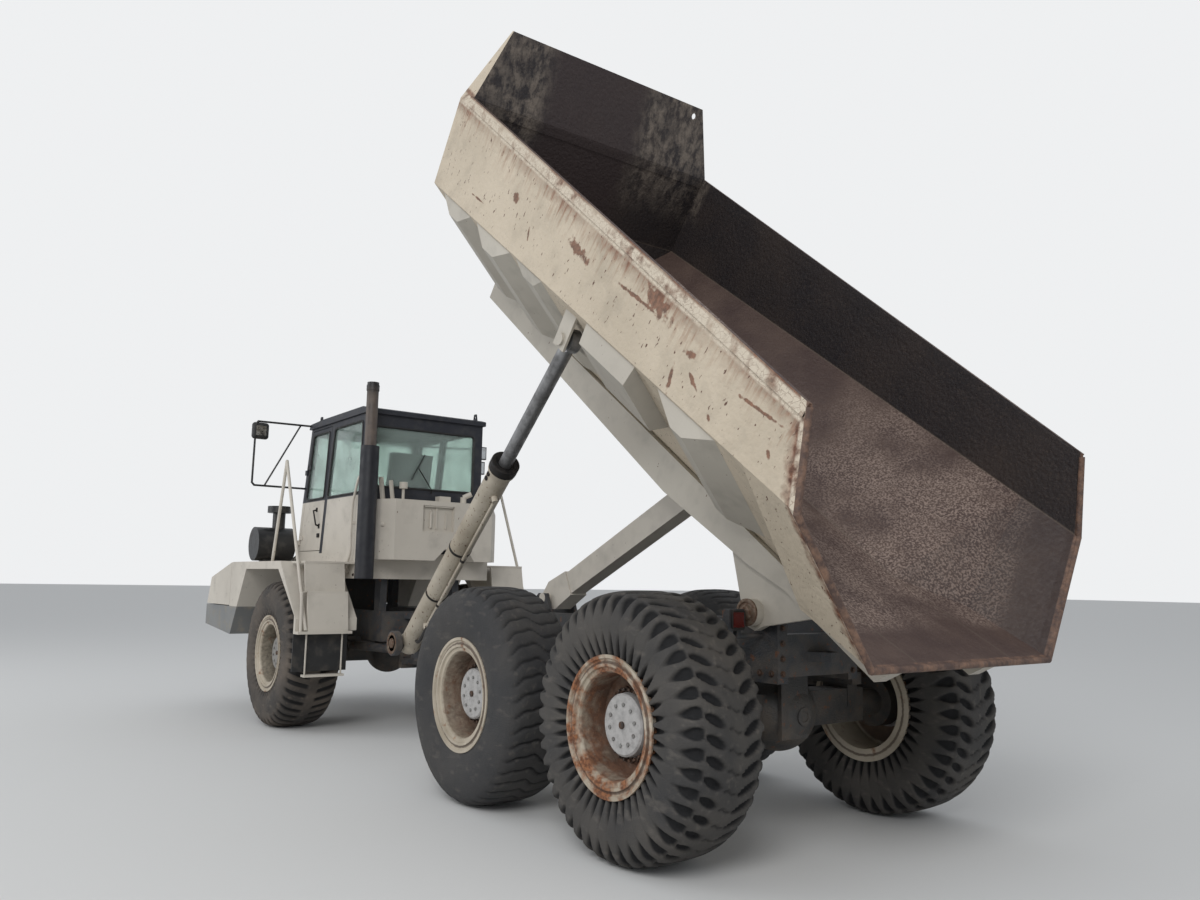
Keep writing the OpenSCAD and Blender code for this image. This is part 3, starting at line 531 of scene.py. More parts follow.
nut_iron = filmed("nut_iron", (.05, .042, .038), (.13, .075, .05), 0.6)
cover_grey = filmed("cover_grey", (.30, .30, .29), (.20, .19, .18), 0.6)
nut_circle, bolt_circle = .202, .118
wheel_nut = turned([(.094, .017), (.112, .017), (.115, .014), (.115, .0095), (.132, .0095), (.133, .006)],
                   6, (0, 0, nut_circle))
cover_bolt = turned([(.158, .012), (.168, .012), (.169, .010)], 6, (0, 0, bolt_circle))
plug = turned([(.158, .022), (.170, .022), (.172, .018)], 12)
for row, axle in axles.items():
    for side, sign in both_sides:
        for kind, source, count, finish in (("wheel_nuts", wheel_nut, 26, nut_iron),
                                            ("cover_bolts", cover_bolt, 10, cover_grey),
                                            ("fill_plug", plug, 1, nut_iron)):
            ring = grown(round_tree, joined("one_of_" + kind, source),
                         {"Count": count, "Start": 0.1, "Weld": 0.0, "Finish": finish},
                         f"{kind}_{row}_{side}")
            if sign < 0:
                ring.data.transform(Matrix.Scale(-1, 4, (0, 1, 0)))
                ring.data.flip_normals()
            ring.data.transform(Matrix.Translation((axle, sign * half_track, tyre_radius)))
            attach(ring, f"wheel_{row}_{side}")

for row, axle in axles.items():
    for side in ("left", "right"):
        worn = (row, side) == ("rear", "left")
        dusty = row == "front"
        dress(rim_finish(f"rim_{row}_{side}_paint", axle, (0.40, 0.56) if worn else (0.58, 0.70),
                         (.10, .085, .06) if dusty else (.16, .09, .06),
                         (.26, .25, .235) if dusty else (.42, .41, .40)), f"rim_{row}_{side}")

# --- Dump body ---
# Welded plate with a sloping tail and a headboard that leans over the cab. Outside it is cream
# enamel, flaked to rust along the top rail, which has bled down the sides. Inside, rock has
# scoured it to bare steel, painted near-black as shade on the walls and headboard, with brown dust on the
# floor.

hinge = Vector((mid_axle + 2.024, 0, 1.434))
lay_flat = math.radians(-37)
laid = Matrix.Rotation(lay_flat, 4, "Y")
old_rust = (.10, .045, .028)


def largest(tree, *values):
    return folded(tree, "MAXIMUM", *values)


def apart(tree, a, b):
    """how far one value is from another"""
    return number(tree, "ABSOLUTE", number(tree, "SUBTRACT", a, b))


def body_frame(tree, value, is_place):
    """a place or a direction, turned from the raised body to the body lying flat at its hinge"""
    moved = tree.nodes.new("ShaderNodeMapping")
    moved.inputs["Rotation"].default_value = (0, lay_flat, 0)
    if is_place:
        moved.inputs["Location"].default_value = -(laid @ hinge)
    tree.links.new(value, moved.inputs["Vector"])
    return moved.outputs[0]


def cream_coat(tree, place, clean, dirty, bleeding=None, nick_from=0.675):
    """enamel with clouded dirt and short nicks, and rust that has run down where bleeding is 1"""
    coat = over(tree, patches(tree, place, 0.9, 0.3, 0.72), clean, dirty)
    grime = times(tree, patches(tree, place, 0.2, 0.52, 0.8, 8), 0.6)
    coat = over(tree, grime, coat, shade(dirty, 0.72))
    if bleeding is not None:
        runs = patches(tree, place, 0.03, 0.5, 0.62, 5, stretch=(1, 1, 7))
        runs = number(tree, "MULTIPLY", runs, bleeding, clamp=True)
        coat = over(tree, runs, coat, (.25, .115, .06))
    nicks = patches(tree, place, 0.022, nick_from, nick_from + 0.03, 2, stretch=(1, 1, 2.6), turn=(0, 22, 0))
    return over(tree, nicks, coat, old_rust), nicks


def scratch(tree, place, x, z, long, wide, turn):
    """a mask of one ragged scratch on the side plates; its middle, half sizes and turn in degrees"""
    moved = tree.nodes.new("ShaderNodeMapping")
    moved.vector_type = "TEXTURE"
    moved.inputs["Location"].default_value = (x, 0, z)
    moved.inputs["Rotation"].default_value = (0, math.radians(turn), 0)
    moved.inputs["Scale"].default_value = (long, 1000, wide)
    tree.links.new(place, moved.inputs["Vector"])
    ragged = number(tree, "ADD", vector_step(tree, "LENGTH", moved.outputs[0]),
                    times(tree, patches(tree, place, 0.05, 0.2, 0.8, 8), 1.1))
    return between(tree, ragged, 1.25, 1.0)


# columns: middle in X and Z, half length, half width, turn
scratches = [(-3.07, 1.46, .10, .05, 20), (-2.02, 1.437, .26, .055, 8), (-1.24, 1.437, .42, .02, 0),
             (-1.05, 1.50, .27, .10, 14), (-.58, 1.38, .11, .035, -6), (-.64, 1.19, .13, .03, 70),
             (-.47, 1.27, .09, .02, 24), (.07, 1.383, .30, .016, -3), (.27, 1.235, .05, .02, 35),
             (-.22, 1.17, .05, .02, 30), (-3.6, 1.25, .20, .012, 0), (-2.7, 1.30, .07, .02, 60)]
# in the flat body: the top rail's height and its fall to the rear, and for the rear edge's upper
# and lower halves, their X at height 0 and their lean
rail_height, rail_fall = 1.597, 0.0672
rear_edges = ((1.2245, 0.554), (1.5137, 0.817))


def body_finish():
    """enamel outside and scoured steel inside, painted near-black as shade, with rust under the rail and
    along the rear edge
    """
    finish, tree, shader, place = new_finish("body_paint", 0.6)
    flat = body_frame(tree, place, True)
    x, y, z = (coordinate(tree, flat, i) for i in range(3))
    facing = body_frame(tree, tree.nodes["Texture Coordinate"].outputs["Normal"], False)
    nx, ny, nz = (coordinate(tree, facing, i) for i in range(3))
    outwards = times(tree, ny, number(tree, "SIGN", y))
    within = largest(tree, nx, nz, times(tree, outwards, -1.0))
    within = times(tree, between(tree, within, 0.2, 0.25), between(tree, outwards, 0.5, 0.45))
    # how far below the top rail, and how far past the open rear edge
    below = number(tree, "SUBTRACT", number(tree, "ADD", times(tree, x, -rail_fall), rail_height), z)
    upper, lower = (number(tree, "SUBTRACT", foot, times(tree, z, lean)) for foot, lean in rear_edges)
    past = number(tree, "SUBTRACT", x, largest(tree, upper, lower))
    cloud = patches(tree, flat, 0.55, 0.38, 0.62, 4)
    grit = times(tree, patches(tree, flat, 0.06, 0.1, 0.9, 8), 0.15)
    under = between(tree, below, -0.03, -0.01)
    ragged = number(tree, "ADD", below, grit)
    bleeding = times(tree, between(tree, ragged, 0.42, 0.16), under, between(tree, cloud, -.3, 1))
    coat = cream_coat(tree, flat, (.60, .515, .40), (.47, .40, .305), bleeding)[0]
    marks = largest(tree, *(scratch(tree, flat, *one) for one in scratches))
    rust = over(tree, patches(tree, flat, 0.03, 0.35, 0.65, 5), (.22, .09, .045), old_rust)
    coat = over(tree, times(tree, marks, 0.9), coat, rust)
    # rust under the rail and along the rear edge, then the cracked enamel that is left on both
    under_rail = times(tree, between(tree, ragged, 0.27, 0.15), between(tree, cloud, -.5, 1.1), under)
    near_edge = between(tree, number(tree, "ADD", past, grit), -0.07, 0.01)
    coat = over(tree, largest(tree, under_rail, near_edge), coat, rust)
    wavy = vector_step(tree, "ADD", flat, times(tree, patches(tree, flat, 0.05, 0.2, 0.8, 6), 0.05))
    broken = tree.nodes.new("ShaderNodeTexVoronoi")
    broken.feature = "DISTANCE_TO_EDGE"
    broken.inputs["Scale"].default_value = 24
    tree.links.new(wavy, broken.inputs["Vector"])
    whole = times(tree, between(tree, broken.outputs["Distance"], -0.03, 0.05),
                  patches(tree, flat, 0.12, 0.66, 0.50, 7))
    on_rail = times(tree, between(tree, below, 0.115, 0.10), between(tree, below, 0.006, 0.02))
    on_edge = times(tree, between(tree, past, -0.075, -0.06), between(tree, past, -0.012, -0.025))
    kept = times(tree, largest(tree, on_rail, on_edge), whole)
    coat = over(tree, kept, coat, (.61, .535, .43))
    # scoured plates inside, painted near-black as shade on the walls and headboard, with beige scrapes on the
    # headboard and dusty speckle on the tail
    scoured_with_painted_shade = over(tree, patches(tree, flat, 0.8, 0.35, 0.65), (.017, .014, .016), (.036, .026, .023))
    crumbs = times(tree, patches(tree, flat, 0.016, 0.52, 0.7, 6), 0.35)
    scoured_with_painted_shade = over(tree, crumbs, scoured_with_painted_shade, (.09, .065, .05))
    board = between(tree, x, -4.2, -4.28)
    aside = between(tree, number(tree, "ABSOLUTE", number(tree, "ADD", y, 0.12)), 0.42, 0.60)
    scrapes = times(tree, patches(tree, flat, 0.09, 0.42, 0.60, 9, stretch=(1, 1, 1.8), rough=.72),
                    patches(tree, flat, 0.45, 0.12, 0.50, 3))
    scraped = times(tree, board, aside, times(tree, between(tree, z, 1.35, 1.75), scrapes), 0.75)
    scoured_with_painted_shade = over(tree, scraped, scoured_with_painted_shade, (.22, .18, .145))
    plum = times(tree, board, number(tree, "SUBTRACT", 1.0, aside), 0.6)
    scoured_with_painted_shade = over(tree, plum, scoured_with_painted_shade, (.042, .026, .026))
    on_floor = between(tree, nz, 0.5, 0.8)
    browned = over(tree, patches(tree, flat, 0.35, 0.35, 0.65, 7), (.062, .036, .030), (.100, .064, .050))
    scoured_with_painted_shade = over(tree, on_floor, scoured_with_painted_shade, browned)
    speckle = times(tree, patches(tree, flat, 0.014, 0.44, 0.60, 4), patches(tree, flat, 0.65, 0.34, 0.56, 3))
    dusty = times(tree, on_floor, between(tree, x, -2.2, -0.6), between(tree, past, -0.30, -0.42))
    scoured_with_painted_shade = over(tree, times(tree, dusty, speckle), scoured_with_painted_shade, (.27, .20, .165))
    # the seams between the floor's plates
    off_seam, off_bend = apart(tree, number(tree, "ABSOLUTE", y), 0.445), apart(tree, z, 1.108)
    seams = largest(tree, between(tree, off_seam, 0.010, 0.004), between(tree, off_bend, 0.008, 0.003))
    seams = times(tree, seams, 0.4, between(tree, z, 1.14, 1.12))
    scoured_with_painted_shade = over(tree, seams, scoured_with_painted_shade, (.13, .10, .075))
    coat = over(tree, within, coat, scoured_with_painted_shade)
    bare = patches(tree, flat, 0.07, 0.42, 0.66, 9, rough=.7)
    bare = over(tree, bare, (.075, .045, .036), (.21, .12, .078))
    coat = over(tree, between(tree, past, -0.024, -0.016), coat, bare)
    relief = number(tree, "ADD", times(tree, kept, 0.5), patches(tree, flat, 0.03, 0.3, 0.7, 6))
    painted(tree, shader, coat, between(tree, relief, -2.0, 2.0))
    raised(tree, shader, relief, 0.006, 0.6)
    return finish


dress(body_finish(), "dump_body")


def cream_finish(name, inclined, clean, dirty, nick_from):
    """nicked cream enamel; inclined is for a part of the raised body"""
    finish, tree, shader, place = new_finish(name, 0.5)
    flat = body_frame(tree, place, True) if inclined else place
    coat, nicks = cream_coat(tree, flat, clean, dirty, None, nick_from)
    painted(tree, shader, coat, between(tree, nicks, -1.1, 0.9))
    raised(tree, shader, patches(tree, flat, 0.05, 0.3, 0.8, 6), 0.002, 0.4)
    return finish


fresh_cream, dull_cream, few_nicks = (.60, .555, .485), (.50, .46, .40), 0.73
# the underside's cream is darker and greyer than the sides': painted shade under the body
dress(cream_finish("underside_cream_painted_shade", True, (.50, .465, .40), (.42, .385, .33), 0.74), "body_beams")
enamel = cream_finish("cream_enamel", False, fresh_cream, dull_cream, few_nicks)
dress(enamel, "body_prop")

# --- Hoist and steering cylinders ---
# The hoist cylinder has a painted barrel, a black gland and a hard-chromed rod, filmed with dark
# oil. The steering cylinders' rods are the same, and their barrels have the chassis paint.


dress(cream_finish("stained_barrel", False, (.50, .45, .37), (.30, .25, .18), 0.66), "hoist_barrel")


def rod_finish(name):
    """polished chrome under patches of dark oil"""
    finish, tree, shader, place = new_finish(name, 0.3, 0.85)
    film = patches(tree, place, 0.12, 0.35, 0.7, 6)
    coat = over(tree, film, (.34, .34, .345), (.13, .127, .127))
    painted(tree, shader, coat, between(tree, film, -0.8, 1.6))
    return finish


dress(rod_finish("chromed_rod"), "hoist_rod", "steer_rod_left", "steer_rod_right")


def at(x, y, z):
    """a place whose X is given from the middle axle"""
    return mid_axle + x, y, z


hoist_foot = Vector(at(-2.440, -.640, .985))
hoist_eye = Vector(at(.986, -1.172, 3.261))
hoist_line = (hoist_eye - hoist_foot).normalized()
hoist_side = (Vector((0, -1, 0)) + hoist_line * hoist_line.y).normalized()
pipe_side = Vector((0.5437, -0.12, -0.8307)).normalized()


def by_pipe(reach, out):
    """a place this far up the barrel from its foot and this far out towards its pipe"""
    return hoist_foot + hoist_line * reach + pipe_side * out


def ringed(line, sides, foot, along):
    """corners and faces of a ring; line goes round its section as (distance, radius) pairs"""
    east = along.orthogonal().normalized()
    north = along.cross(east)
    corners, faces = [], []
    for reach, radius in line:
        for k in range(sides):
            a = k * math.tau / sides
            corners.append(foot + along * reach + (east * math.cos(a) + north * math.sin(a)) * radius)
    for i in range(len(line)):
        after = (i + 1) % len(line)
        for k in range(sides):
            a, b = i * sides + k, i * sides + (k + 1) % sides
            faces.append((a, b, after * sides + b % sides, after * sides + a % sides))
    return corners, faces


def tube(points, radius, sides, closed=False):
    """corners and faces of a bent tube or strip along points, with closed ends or none"""
    points = [Vector(q) for q in points]
    count = len(points)
    lines = [(points[(i + 1) % count] - points[i]).normalized() for i in range(count)]
    if not closed:
        lines[-1] = lines[-2]
    east = lines[0].orthogonal().normalized()
    corners, faces = [], []
    for i in range(count):
        before = lines[i - 1] if closed or i else lines[0]
        mitre = (before + lines[i]).normalized()
        east = (east - mitre * east.dot(mitre)).normalized()
        north = mitre.cross(east)
        for k in range(sides):
            a = (k + 0.5) * math.tau / sides
            corners.append(points[i] + (east * math.cos(a) + north * math.sin(a)) * radius)
    for i in range(count if closed else count - 1):
        for k in range(sides):
            a, b = i * sides + k, i * sides + (k + 1) % sides
            faces.append((a, b, (b + sides) % len(corners), (a + sides) % len(corners)))
    if not closed:
        faces.append(tuple(range(sides))[::-1])
        faces.append(tuple((count - 1) * sides + k for k in range(sides)))
    return corners, faces


def softened(made, bevel=0.0):
    """its faces turned outwards and its sharp edges rounded"""
    shape = bmesh.new()
    shape.from_mesh(made.data)
    bmesh.ops.recalc_face_normals(shape, faces=shape.faces)
    if bevel:
        sharp = [e for e in shape.edges if len(e.link_faces) == 2 and e.calc_face_angle() > 0.6]
        bmesh.ops.bevel(shape, geom=sharp, offset=bevel, segments=2, affect="EDGES", clamp_overlap=True)
    shape.to_mesh(made.data)
    shape.free()


def fitted(name, body, finish, slot, *solids, bevel=0.0):
    """a piece of several solids with its finish, softened edges and its body; slot is not used"""
    made = joined(name, *solids)
    softened(made, bevel)
    made.data.materials.append(finish)
    for face in made.data.polygons:
        face.use_smooth = False
    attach(made, body)


def brick(low, high):
    """corners and faces of a box"""
    (x0, y0, z0), (x1, y1, z1) = low, high
    corners = [Vector((x, y, z)) for x in (x0, x1) for y in (y0, y1) for z in (z0, z1)]
    return corners, [(0, 1, 3, 2), (4, 6, 7, 5), (0, 4, 5, 1), (2, 3, 7, 6), (0, 2, 6, 4), (1, 5, 7, 3)]


oily_black = filmed("oily_black", (.012, .012, .013), (.035, .030, .026), 0.45)
rusty_cap = filmed("rusty_cap", (.20, .155, .115), (.115, .06, .038), 0.65)
hose_rubber = filmed("hose_rubber", (.013, .013, .014), (.04, .036, .032), 0.7, 0.0)
fitted("hoist_gland", "hoist_barrel", oily_black, "iron", ringed(
    [(2.726, .109), (2.729, .117), (2.800, .117), (2.806, .111), (2.806, .088), (2.796, .066), (2.794, .0557),
     (2.786, .0557), (2.786, .109)], 40, hoist_foot, hoist_line))
for reach in (2.610, 2.664):
    spot = hoist_foot + hoist_line * reach + hoist_side * 0.090
    fitted(f"gland_port_{round(reach * 1000)}", "hoist_barrel", oily_black, "iron", ringed(
        [(0.0, .004), (0.0, .021), (0.014, .021), (0.018, .017), (0.018, .010), (0.006, .004)],
        18, spot, hoist_side))
for reach in (0.90, 1.62):
    fitted(f"hoist_clamp_{round(reach * 1000)}", "hoist_barrel", oily_black, "iron",
           ringed([(0, .094), (0, .1015), (.026, .1015), (.026, .094)], 36, by_pipe(reach, 0), hoist_line),
           tube([by_pipe(reach + .013, .085), by_pipe(reach + .013, .160)], .012, 8),
           ringed([(0, .012), (0, .021), (.024, .021), (.024, .012)], 16,
                  by_pipe(reach + .001, .136), hoist_line))
# the hose that feeds the barrel's foot
fitted("hoist_hose", "hoist_barrel", hose_rubber, "flap_rubber", tube(smooth_path(
    [by_pipe(.545, .140), by_pipe(.44, .150), by_pipe(.33, .150), by_pipe(.24, .128),
     by_pipe(.20, .085)], 20), .017, 12))
for side, sign in both_sides:
    outwards = Vector((0, sign, 0))
    fitted(f"hoist_pin_cap_{side}", "rear_unit", rusty_cap, "iron", ringed(
        [(0, .002), (0, .100), (.004, .104), (.004, .080), (-.004, .074), (-.004, .050), (.010, .044),
         (.014, .002)], 32, Vector(at(-2.440, sign * .830, .985)), outwards))
    fitted(f"hinge_cap_{side}", "dump", rusty_cap, "iron", ringed(
        [(-.008, .050), (-.008, .0855), (.006, .0855), (.010, .080), (.010, .066), (.004, .062), (.004, .050),
         (.020, .042), (.024, .034), (.024, .002), (-.008, .002)],
        32, Vector((hinge.x, sign * .520, hinge.z)), outwards))

# --- Cab and front unit ---
# A pressed steel cab in dark navy over cream lower panels, with tinted toughened glass in rubber,
# on a plate frame that carries the engine, the hood and the wide fenders.


def dusty_finish(name, base, lighter, dust, roughness):
    """a plain finish with patches of dust"""
    finish, tree, shader, place = new_finish(name, roughness)
    coat = over(tree, patches(tree, place, 0.5, 0.35, 0.7), base, lighter)
    film = patches(tree, place, 0.12, 0.5, 0.75, 8)
    painted(tree, shader, over(tree, film, coat, dust), between(tree, film, -roughness * 2, 2.0))
    raised(tree, shader, patches(tree, place, 0.01, 0.3, 0.8, 4), 0.0015, 0.5)
    return finish


def cab_finish():
    """cream below the windows' sills and navy above, with a dark strip behind the door"""
    finish, tree, shader, place = new_finish("cab_paint", 0.45)
    x, y, z = (coordinate(tree, place, i) for i in range(3))
    pale, nicks = cream_coat(tree, place, fresh_cream, dull_cream, None, few_nicks)
    navy = over(tree, patches(tree, place, 0.5, 0.35, 0.7), (.012, .014, .022), (.022, .024, .032))
    film = times(tree, patches(tree, place, 0.12, 0.5, 0.75, 8), 0.6)
    navy = over(tree, film, navy, (.055, .052, .052))
    # the strip leans as the door's rear edge does
    strip_x = number(tree, "ADD", times(tree, number(tree, "SUBTRACT", z, 1.92), 0.14), mid_axle - 4.602)
    strip = times(tree, between(tree, apart(tree, x, strip_x), .045, .040), between(tree, y, -0.70, -0.71))
    behind = between(tree, x, mid_axle - 3.50, mid_axle - 3.49)
    dark = largest(tree, between(tree, z, 2.500, 2.506), strip, behind)
    painted(tree, shader, over(tree, dark, pale, navy), between(tree, nicks, -0.9, 0.9))
    raised(tree, shader, patches(tree, place, 0.03, 0.3, 0.8, 4), 0.0015, 0.4)
    return finish


dress(cab_finish(), "cab_shell", "cab_roof", "cab_door")
dress(enamel, "cab_base", "fenders", "steps", "handrails", "hood", "hydraulic_tank")
dress(dusty_finish("bumper_grey", (.16, .165, .165), (.21, .21, .205), (.30, .27, .22), 0.6), "bumper")
dress(dusty_finish("flap_rubber", (.02, .02, .021), (.03, .03, .03), (.075, .066, .056), 0.8), "mudflaps")
dress(dusty_finish("black_plastic", (.012, .012, .013), (.022, .022, .022), (.06, .055, .05), 0.5), "mirrors",
      "air_cleaner", "steering_wheel")
dress(dusty_finish("seat_cloth", (.018, .018, .02), (.03, .03, .032), (.05, .048, .045), 0.85),
      "operator_seat")


def exhaust_finish():
    """navy shroud below, scorched brown pipe above"""
    finish, tree, shader, place = new_finish("exhaust_steel", 0.55)
    z = coordinate(tree, place, "Z")
    shroud = over(tree, patches(tree, place, 0.3, 0.35, 0.7, 7), (.007, .008, .013), (.018, .018, .022))
    scorched = over(tree, patches(tree, place, 0.1, 0.35, 0.7, 7), (.075, .058, .05), (.14, .11, .09))
    scorched = over(tree, between(tree, z, 3.50, 3.66), scorched, (.012, .011, .011))
    painted(tree, shader, over(tree, between(tree, z, 2.998, 3.002), shroud, scorched),
            between(tree, patches(tree, place, 0.1, 0.3, 0.7), -1.2, 2.0))
    return finish


dress(exhaust_finish(), "exhaust")


def glass_finish(name, tint):
    """tinted glass with a faint film of dirt"""
    finish, tree, shader, place = new_finish(name, 0.06)
    shader.inputs["Transmission Weight"].default_value = 0.85
    shader.inputs["IOR"].default_value = 1.45
    film = patches(tree, place, 0.25, 0.4, 0.8, 7)
    painted(tree, shader, over(tree, film, tint, shade(tint, 0.8)), between(tree, film, -0.1, 3.0))
    return finish


dress(glass_finish("tinted_glass", (.72, .86, .80)), "cab_glass", "door_glass")

# --- Window rubbers ---
# A black rubber bead round each pane, its corners rounded, pressed over the edge of the opening.
# The door's bead rides on the door.


def rounded(points, radius, steps=6):
    """a closed outline with its corners rounded"""
    line = []
    for i, corner in enumerate(points):
        corner = Vector(corner)
        back, on = (Vector(points[i - 1]) - corner), (Vector(points[(i + 1) % len(points)]) - corner)
        start, end = corner + back.normalized() * radius, corner + on.normalized() * radius
        for k in range(steps + 1):
            t = k / steps
            line.append(start * (1 - t) ** 2 + corner * 2 * t * (1 - t) + end * t * t)
    return line


def side_outline(points, y):
    """an outline in a side of the cab, from millimetres behind the middle axle and above the ground"""
    return [at(x / 1000, y, z / 1000) for x, z in points]


cab_out, cab_right, cab_back = -0.780, 0.660, mid_axle - 3.437
door_pane = [(-5170, 2530), (-5010, 3310), (-4500, 3310), (-4590, 2530)]
rear_pane = [(-4480, 2530), (-4340, 3320), (-3530, 3320), (-3530, 2530)]
right_pane = [(-5170, 2530), (-5010, 3320), (-4430, 3320), (-4570, 2530)]
back_pane = [(cab_back, -.670, 2.600), (cab_back, .550, 2.600), (cab_back, .550, 3.260),
             (cab_back, -.670, 3.260)]
screen = [at(-5.283, -.690, 2.560), at(-5.283, .570, 2.560), at(-5.1265, .570, 3.320),
          at(-5.1265, -.690, 3.320)]
seal = filmed("window_rubber", (.010, .010, .011), (.026, .025, .024), 0.75, 0.0)
for name, body, outline in (
        ("seal_door", "door", side_outline(door_pane, cab_out)),
        ("seal_left", "front_unit", side_outline(rear_pane, cab_out)),
        ("seal_right_front", "front_unit", side_outline(right_pane, cab_right)),
        ("seal_right_rear", "front_unit", side_outline(rear_pane, cab_right)),
        ("seal_back", "front_unit", back_pane),
        ("seal_screen", "front_unit", screen)):
    fitted(name, body, seal, "flap_rubber", tube(rounded(outline, .050), .013, 6, closed=True))

# --- Door handle and grab pipe ---
# A bent black bar on two blocks with the latch below it, screwed to the door, and behind the door
# a bent steel pipe in cream enamel, held by two clips.

fitted("door_handle", "door", oily_black, "iron",
       tube([at(-4.795, cab_out - .004, 2.398), at(-4.795, cab_out - .042, 2.385),
             at(-4.700, cab_out - .042, 2.218), at(-4.700, cab_out - .004, 2.205)], .011, 10),
       brick(at(-4.815, cab_out - .008, 2.375), at(-4.775, cab_out + .002, 2.425)),
       brick(at(-4.720, cab_out - .008, 2.175), at(-4.680, cab_out + .002, 2.232)),
       brick(at(-4.742, cab_out - .012, 2.070), at(-4.672, cab_out + .002, 2.118)), bevel=.002)
fitted("grab_pipe", "front_unit", enamel, "body_paint",
       tube(smooth_path([at(-3.495, -.788, 2.700), at(-3.500, -.812, 2.685), at(-3.560, -.815, 2.560),
                         at(-3.636, -.815, 2.370), at(-3.640, -.815, 2.100), at(-3.636, -.815, 1.890),
                         at(-3.690, -.815, 1.780), at(-3.745, -.815, 1.690)], 40), .014, 12),
       brick(at(-3.655, -.822, 2.190), at(-3.620, -.776, 2.215)),
       brick(at(-3.765, -.822, 1.655), at(-3.725, -.776, 1.700)))

# --- Mirror glass and wipers ---
# Silvered glass set into the mirrors' black shells, and one black wiper each, arm and blade, for
# the windscreen and the pane in the cab's back.

silver, tree, shader, place = new_finish("mirror_glass", 0.08, 1.0)
painted(tree, shader, over(tree, patches(tree, place, 0.08, 0.4, 0.8), (.62, .64, .65), (.42, .42, .41)),
        between(tree, patches(tree, place, 0.05, 0.3, 0.8), -.2, 3.0))
fitted("mirror_glasses", "front_unit", silver, "window_glass",
       brick(at(-5.1376, -1.447, 3.271), at(-5.1345, -1.329, 3.389)),
       brick(at(-4.780, 1.312, 3.212), at(-4.7765, 1.478, 3.358)),
       brick(at(-4.780, 1.322, 3.012), at(-4.7765, 1.458, 3.158)), bevel=.001)
fitted("wipers", "front_unit", oily_black, "iron",
       tube([at(-5.300, -.100, 2.515), at(-5.312, -.120, 2.560), at(-5.232, -.330, 2.930)], .007, 8),
       tube([at(-5.286, -.390, 2.700), at(-5.205, -.290, 3.120)], .008, 6),
       ringed([(0, .004), (0, .022), (-.030, .022), (-.034, .018), (-.034, .004)], 16,
              Vector(at(-5.285, -.100, 2.512)), Vector((1, 0, 0))),
       tube([(cab_back + .006, .020, 2.560), (cab_back + .030, .012, 2.600), (cab_back + .022, -.150, 2.830)],
            .006, 8),
       tube([(cab_back + .016, -.230, 2.700), (cab_back + .016, -.080, 2.990)], .007, 6))

# --- Tank fittings ---
# On the hydraulic tank: a level tube with its guards and cover strip in the recess, a round latch
# on the corner, all painted with the tank, and two loose square bars that stand on its top.

fitted("tank_fittings", "front_unit", enamel, "body_paint",
       tube([at(-3.158, -.110, 2.330), at(-3.148, -.110, 2.325), at(-3.148, -.110, 2.165),
             at(-3.158, -.110, 2.160)], .012, 10),
       brick(at(-3.168, -.050, 2.150), at(-3.150, -.030, 2.390)),
       brick(at(-3.168, .070, 2.150), at(-3.150, .086, 2.330)),
       brick(at(-3.168, -.200, 2.385), at(-3.130, .150, 2.398)),
       ringed([(-.004, .002), (-.004, .026), (.012, .026), (.020, .020), (.024, .002)], 20,
              Vector(at(-3.262, -.616, 2.176)), Vector((.6, -1, 0)).normalized()), bevel=.002)
fitted("tank_shims", "front_unit", enamel, "body_paint",
       tube([at(-3.330, -.600, 2.448), at(-3.318, -.640, 2.690)], .030, 4),
       tube([at(-3.300, -.500, 2.448), at(-3.290, -.535, 2.660)], .026, 4), bevel=.003)

# --- Lamps ---
# Moulded lenses, red at the rear and clear at the front, each clamped by a thin black rim: round
# on the headlamps and square on the rear lamps.

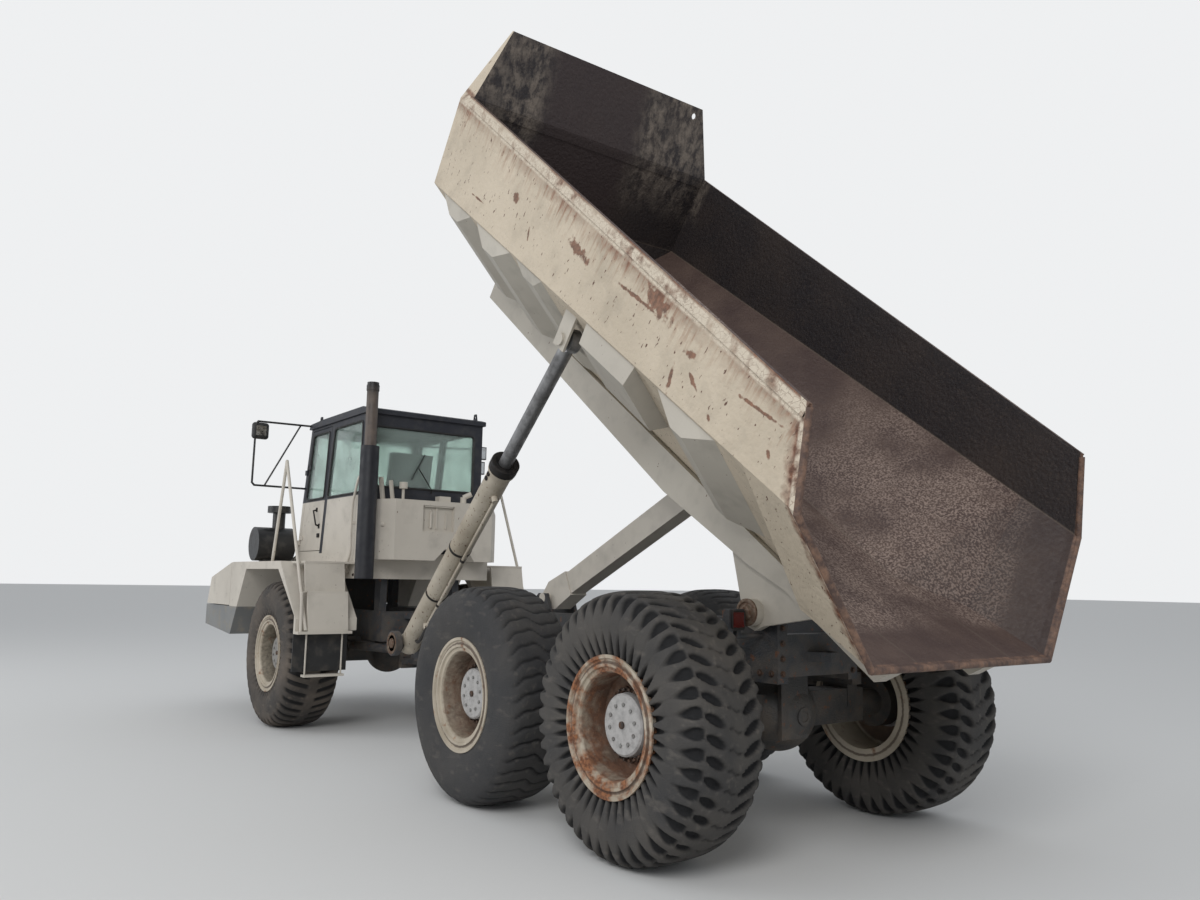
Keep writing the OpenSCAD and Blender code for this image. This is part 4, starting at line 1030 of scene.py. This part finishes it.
dress(glass_finish("red_lens", (.45, .02, .015)), "rear_lamps")
dress(glass_finish("clear_lens", (.8, .8, .78)), "front_lamps")
for side, sign in both_sides:
    fitted(f"lamp_bezel_{side}", "front_unit", oily_black, "iron", ringed(
        [(0, .074), (0, .088), (-.020, .088), (-.026, .082), (-.026, .074)], 32,
        Vector(at(-6.797, sign * 1.150, 1.120)), Vector((1, 0, 0))))
    fitted(f"rear_lamp_rim_{side}", "rear_unit", oily_black, "iron",
           tube(rounded([at(2.058, sign * .574, 1.339), at(2.058, sign * .676, 1.339),
                         at(2.058, sign * .676, 1.441), at(2.058, sign * .574, 1.441)], .014, 4),
                .007, 6, closed=True))

# --- Rows of bolts ---
# Hexagon heads on washers, in iron, at even steps along the rear frame's rails and rear member
# and along the cab's base. One bolt is modelled for each row and a tree repeats it.


def repeat_along():
    """a tree that sets its geometry at even steps from start to end"""
    tree, given, line, setting, real, finish = placing_tree("repeat_along", Start="Vector", End="Vector")
    link = tree.links.new
    line.mode = "END_POINTS"
    link(given.outputs["Start"], line.inputs["Start Location"])
    link(given.outputs["End"], line.inputs["Offset"])
    link(real.outputs[0], finish.inputs["Geometry"])
    return tree


row_tree = repeat_along()
for side, sign in both_sides:
    out, rail, member, base = (0, sign, 0), sign * .380, sign * .335, sign * .780
    # place, body, way they face, size, count, first and last
    for kind, body, way, size, count, first, last in (
            ("rail_front", "rear_unit", out, 1.3, 5, (-1.42, rail, 1.06), (-.94, rail, 1.06)),
            ("rail_top", "rear_unit", out, 1.3, 5, (-1.42, rail, 1.28), (-.94, rail, 1.28)),
            ("rail_middle", "rear_unit", out, 1.3, 6, (.42, rail, 1.30), (1.36, rail, 1.30)),
            ("rail_rear", "rear_unit", out, 1.3, 4, (1.80, rail, 1.06), (2.10, rail, 1.06)),
            ("rear_member", "rear_unit", (1, 0, 0), 1.3, 4, (2.15, member, 1.06), (2.15, member, 1.34)),
            ("base", "front_unit", out, 1.1, 6, (-5.28, base, 1.64), (-3.60, base, 1.64))):
        name = f"bolts_{kind}_{side}"
        foot, way = Vector((0, 0, 0)), Vector(way)
        washer = [(-.001, .003), (-.001, .016 * size), (.003 * size, .016 * size), (.003 * size, .003)]
        head = [(.003 * size, .003), (.003 * size, .0115 * size), (.010 * size, .0115 * size),
                (.012 * size, .0095 * size), (.012 * size, .001)]
        one = joined("one_of_" + name, ringed(washer, 14, foot, way), ringed(head, 6, foot, way))
        softened(one)
        row = grown(row_tree, one, {"Count": count, "Start": at(*first), "End": at(*last),
                                    "Finish": nut_iron}, name)
        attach(row, body)
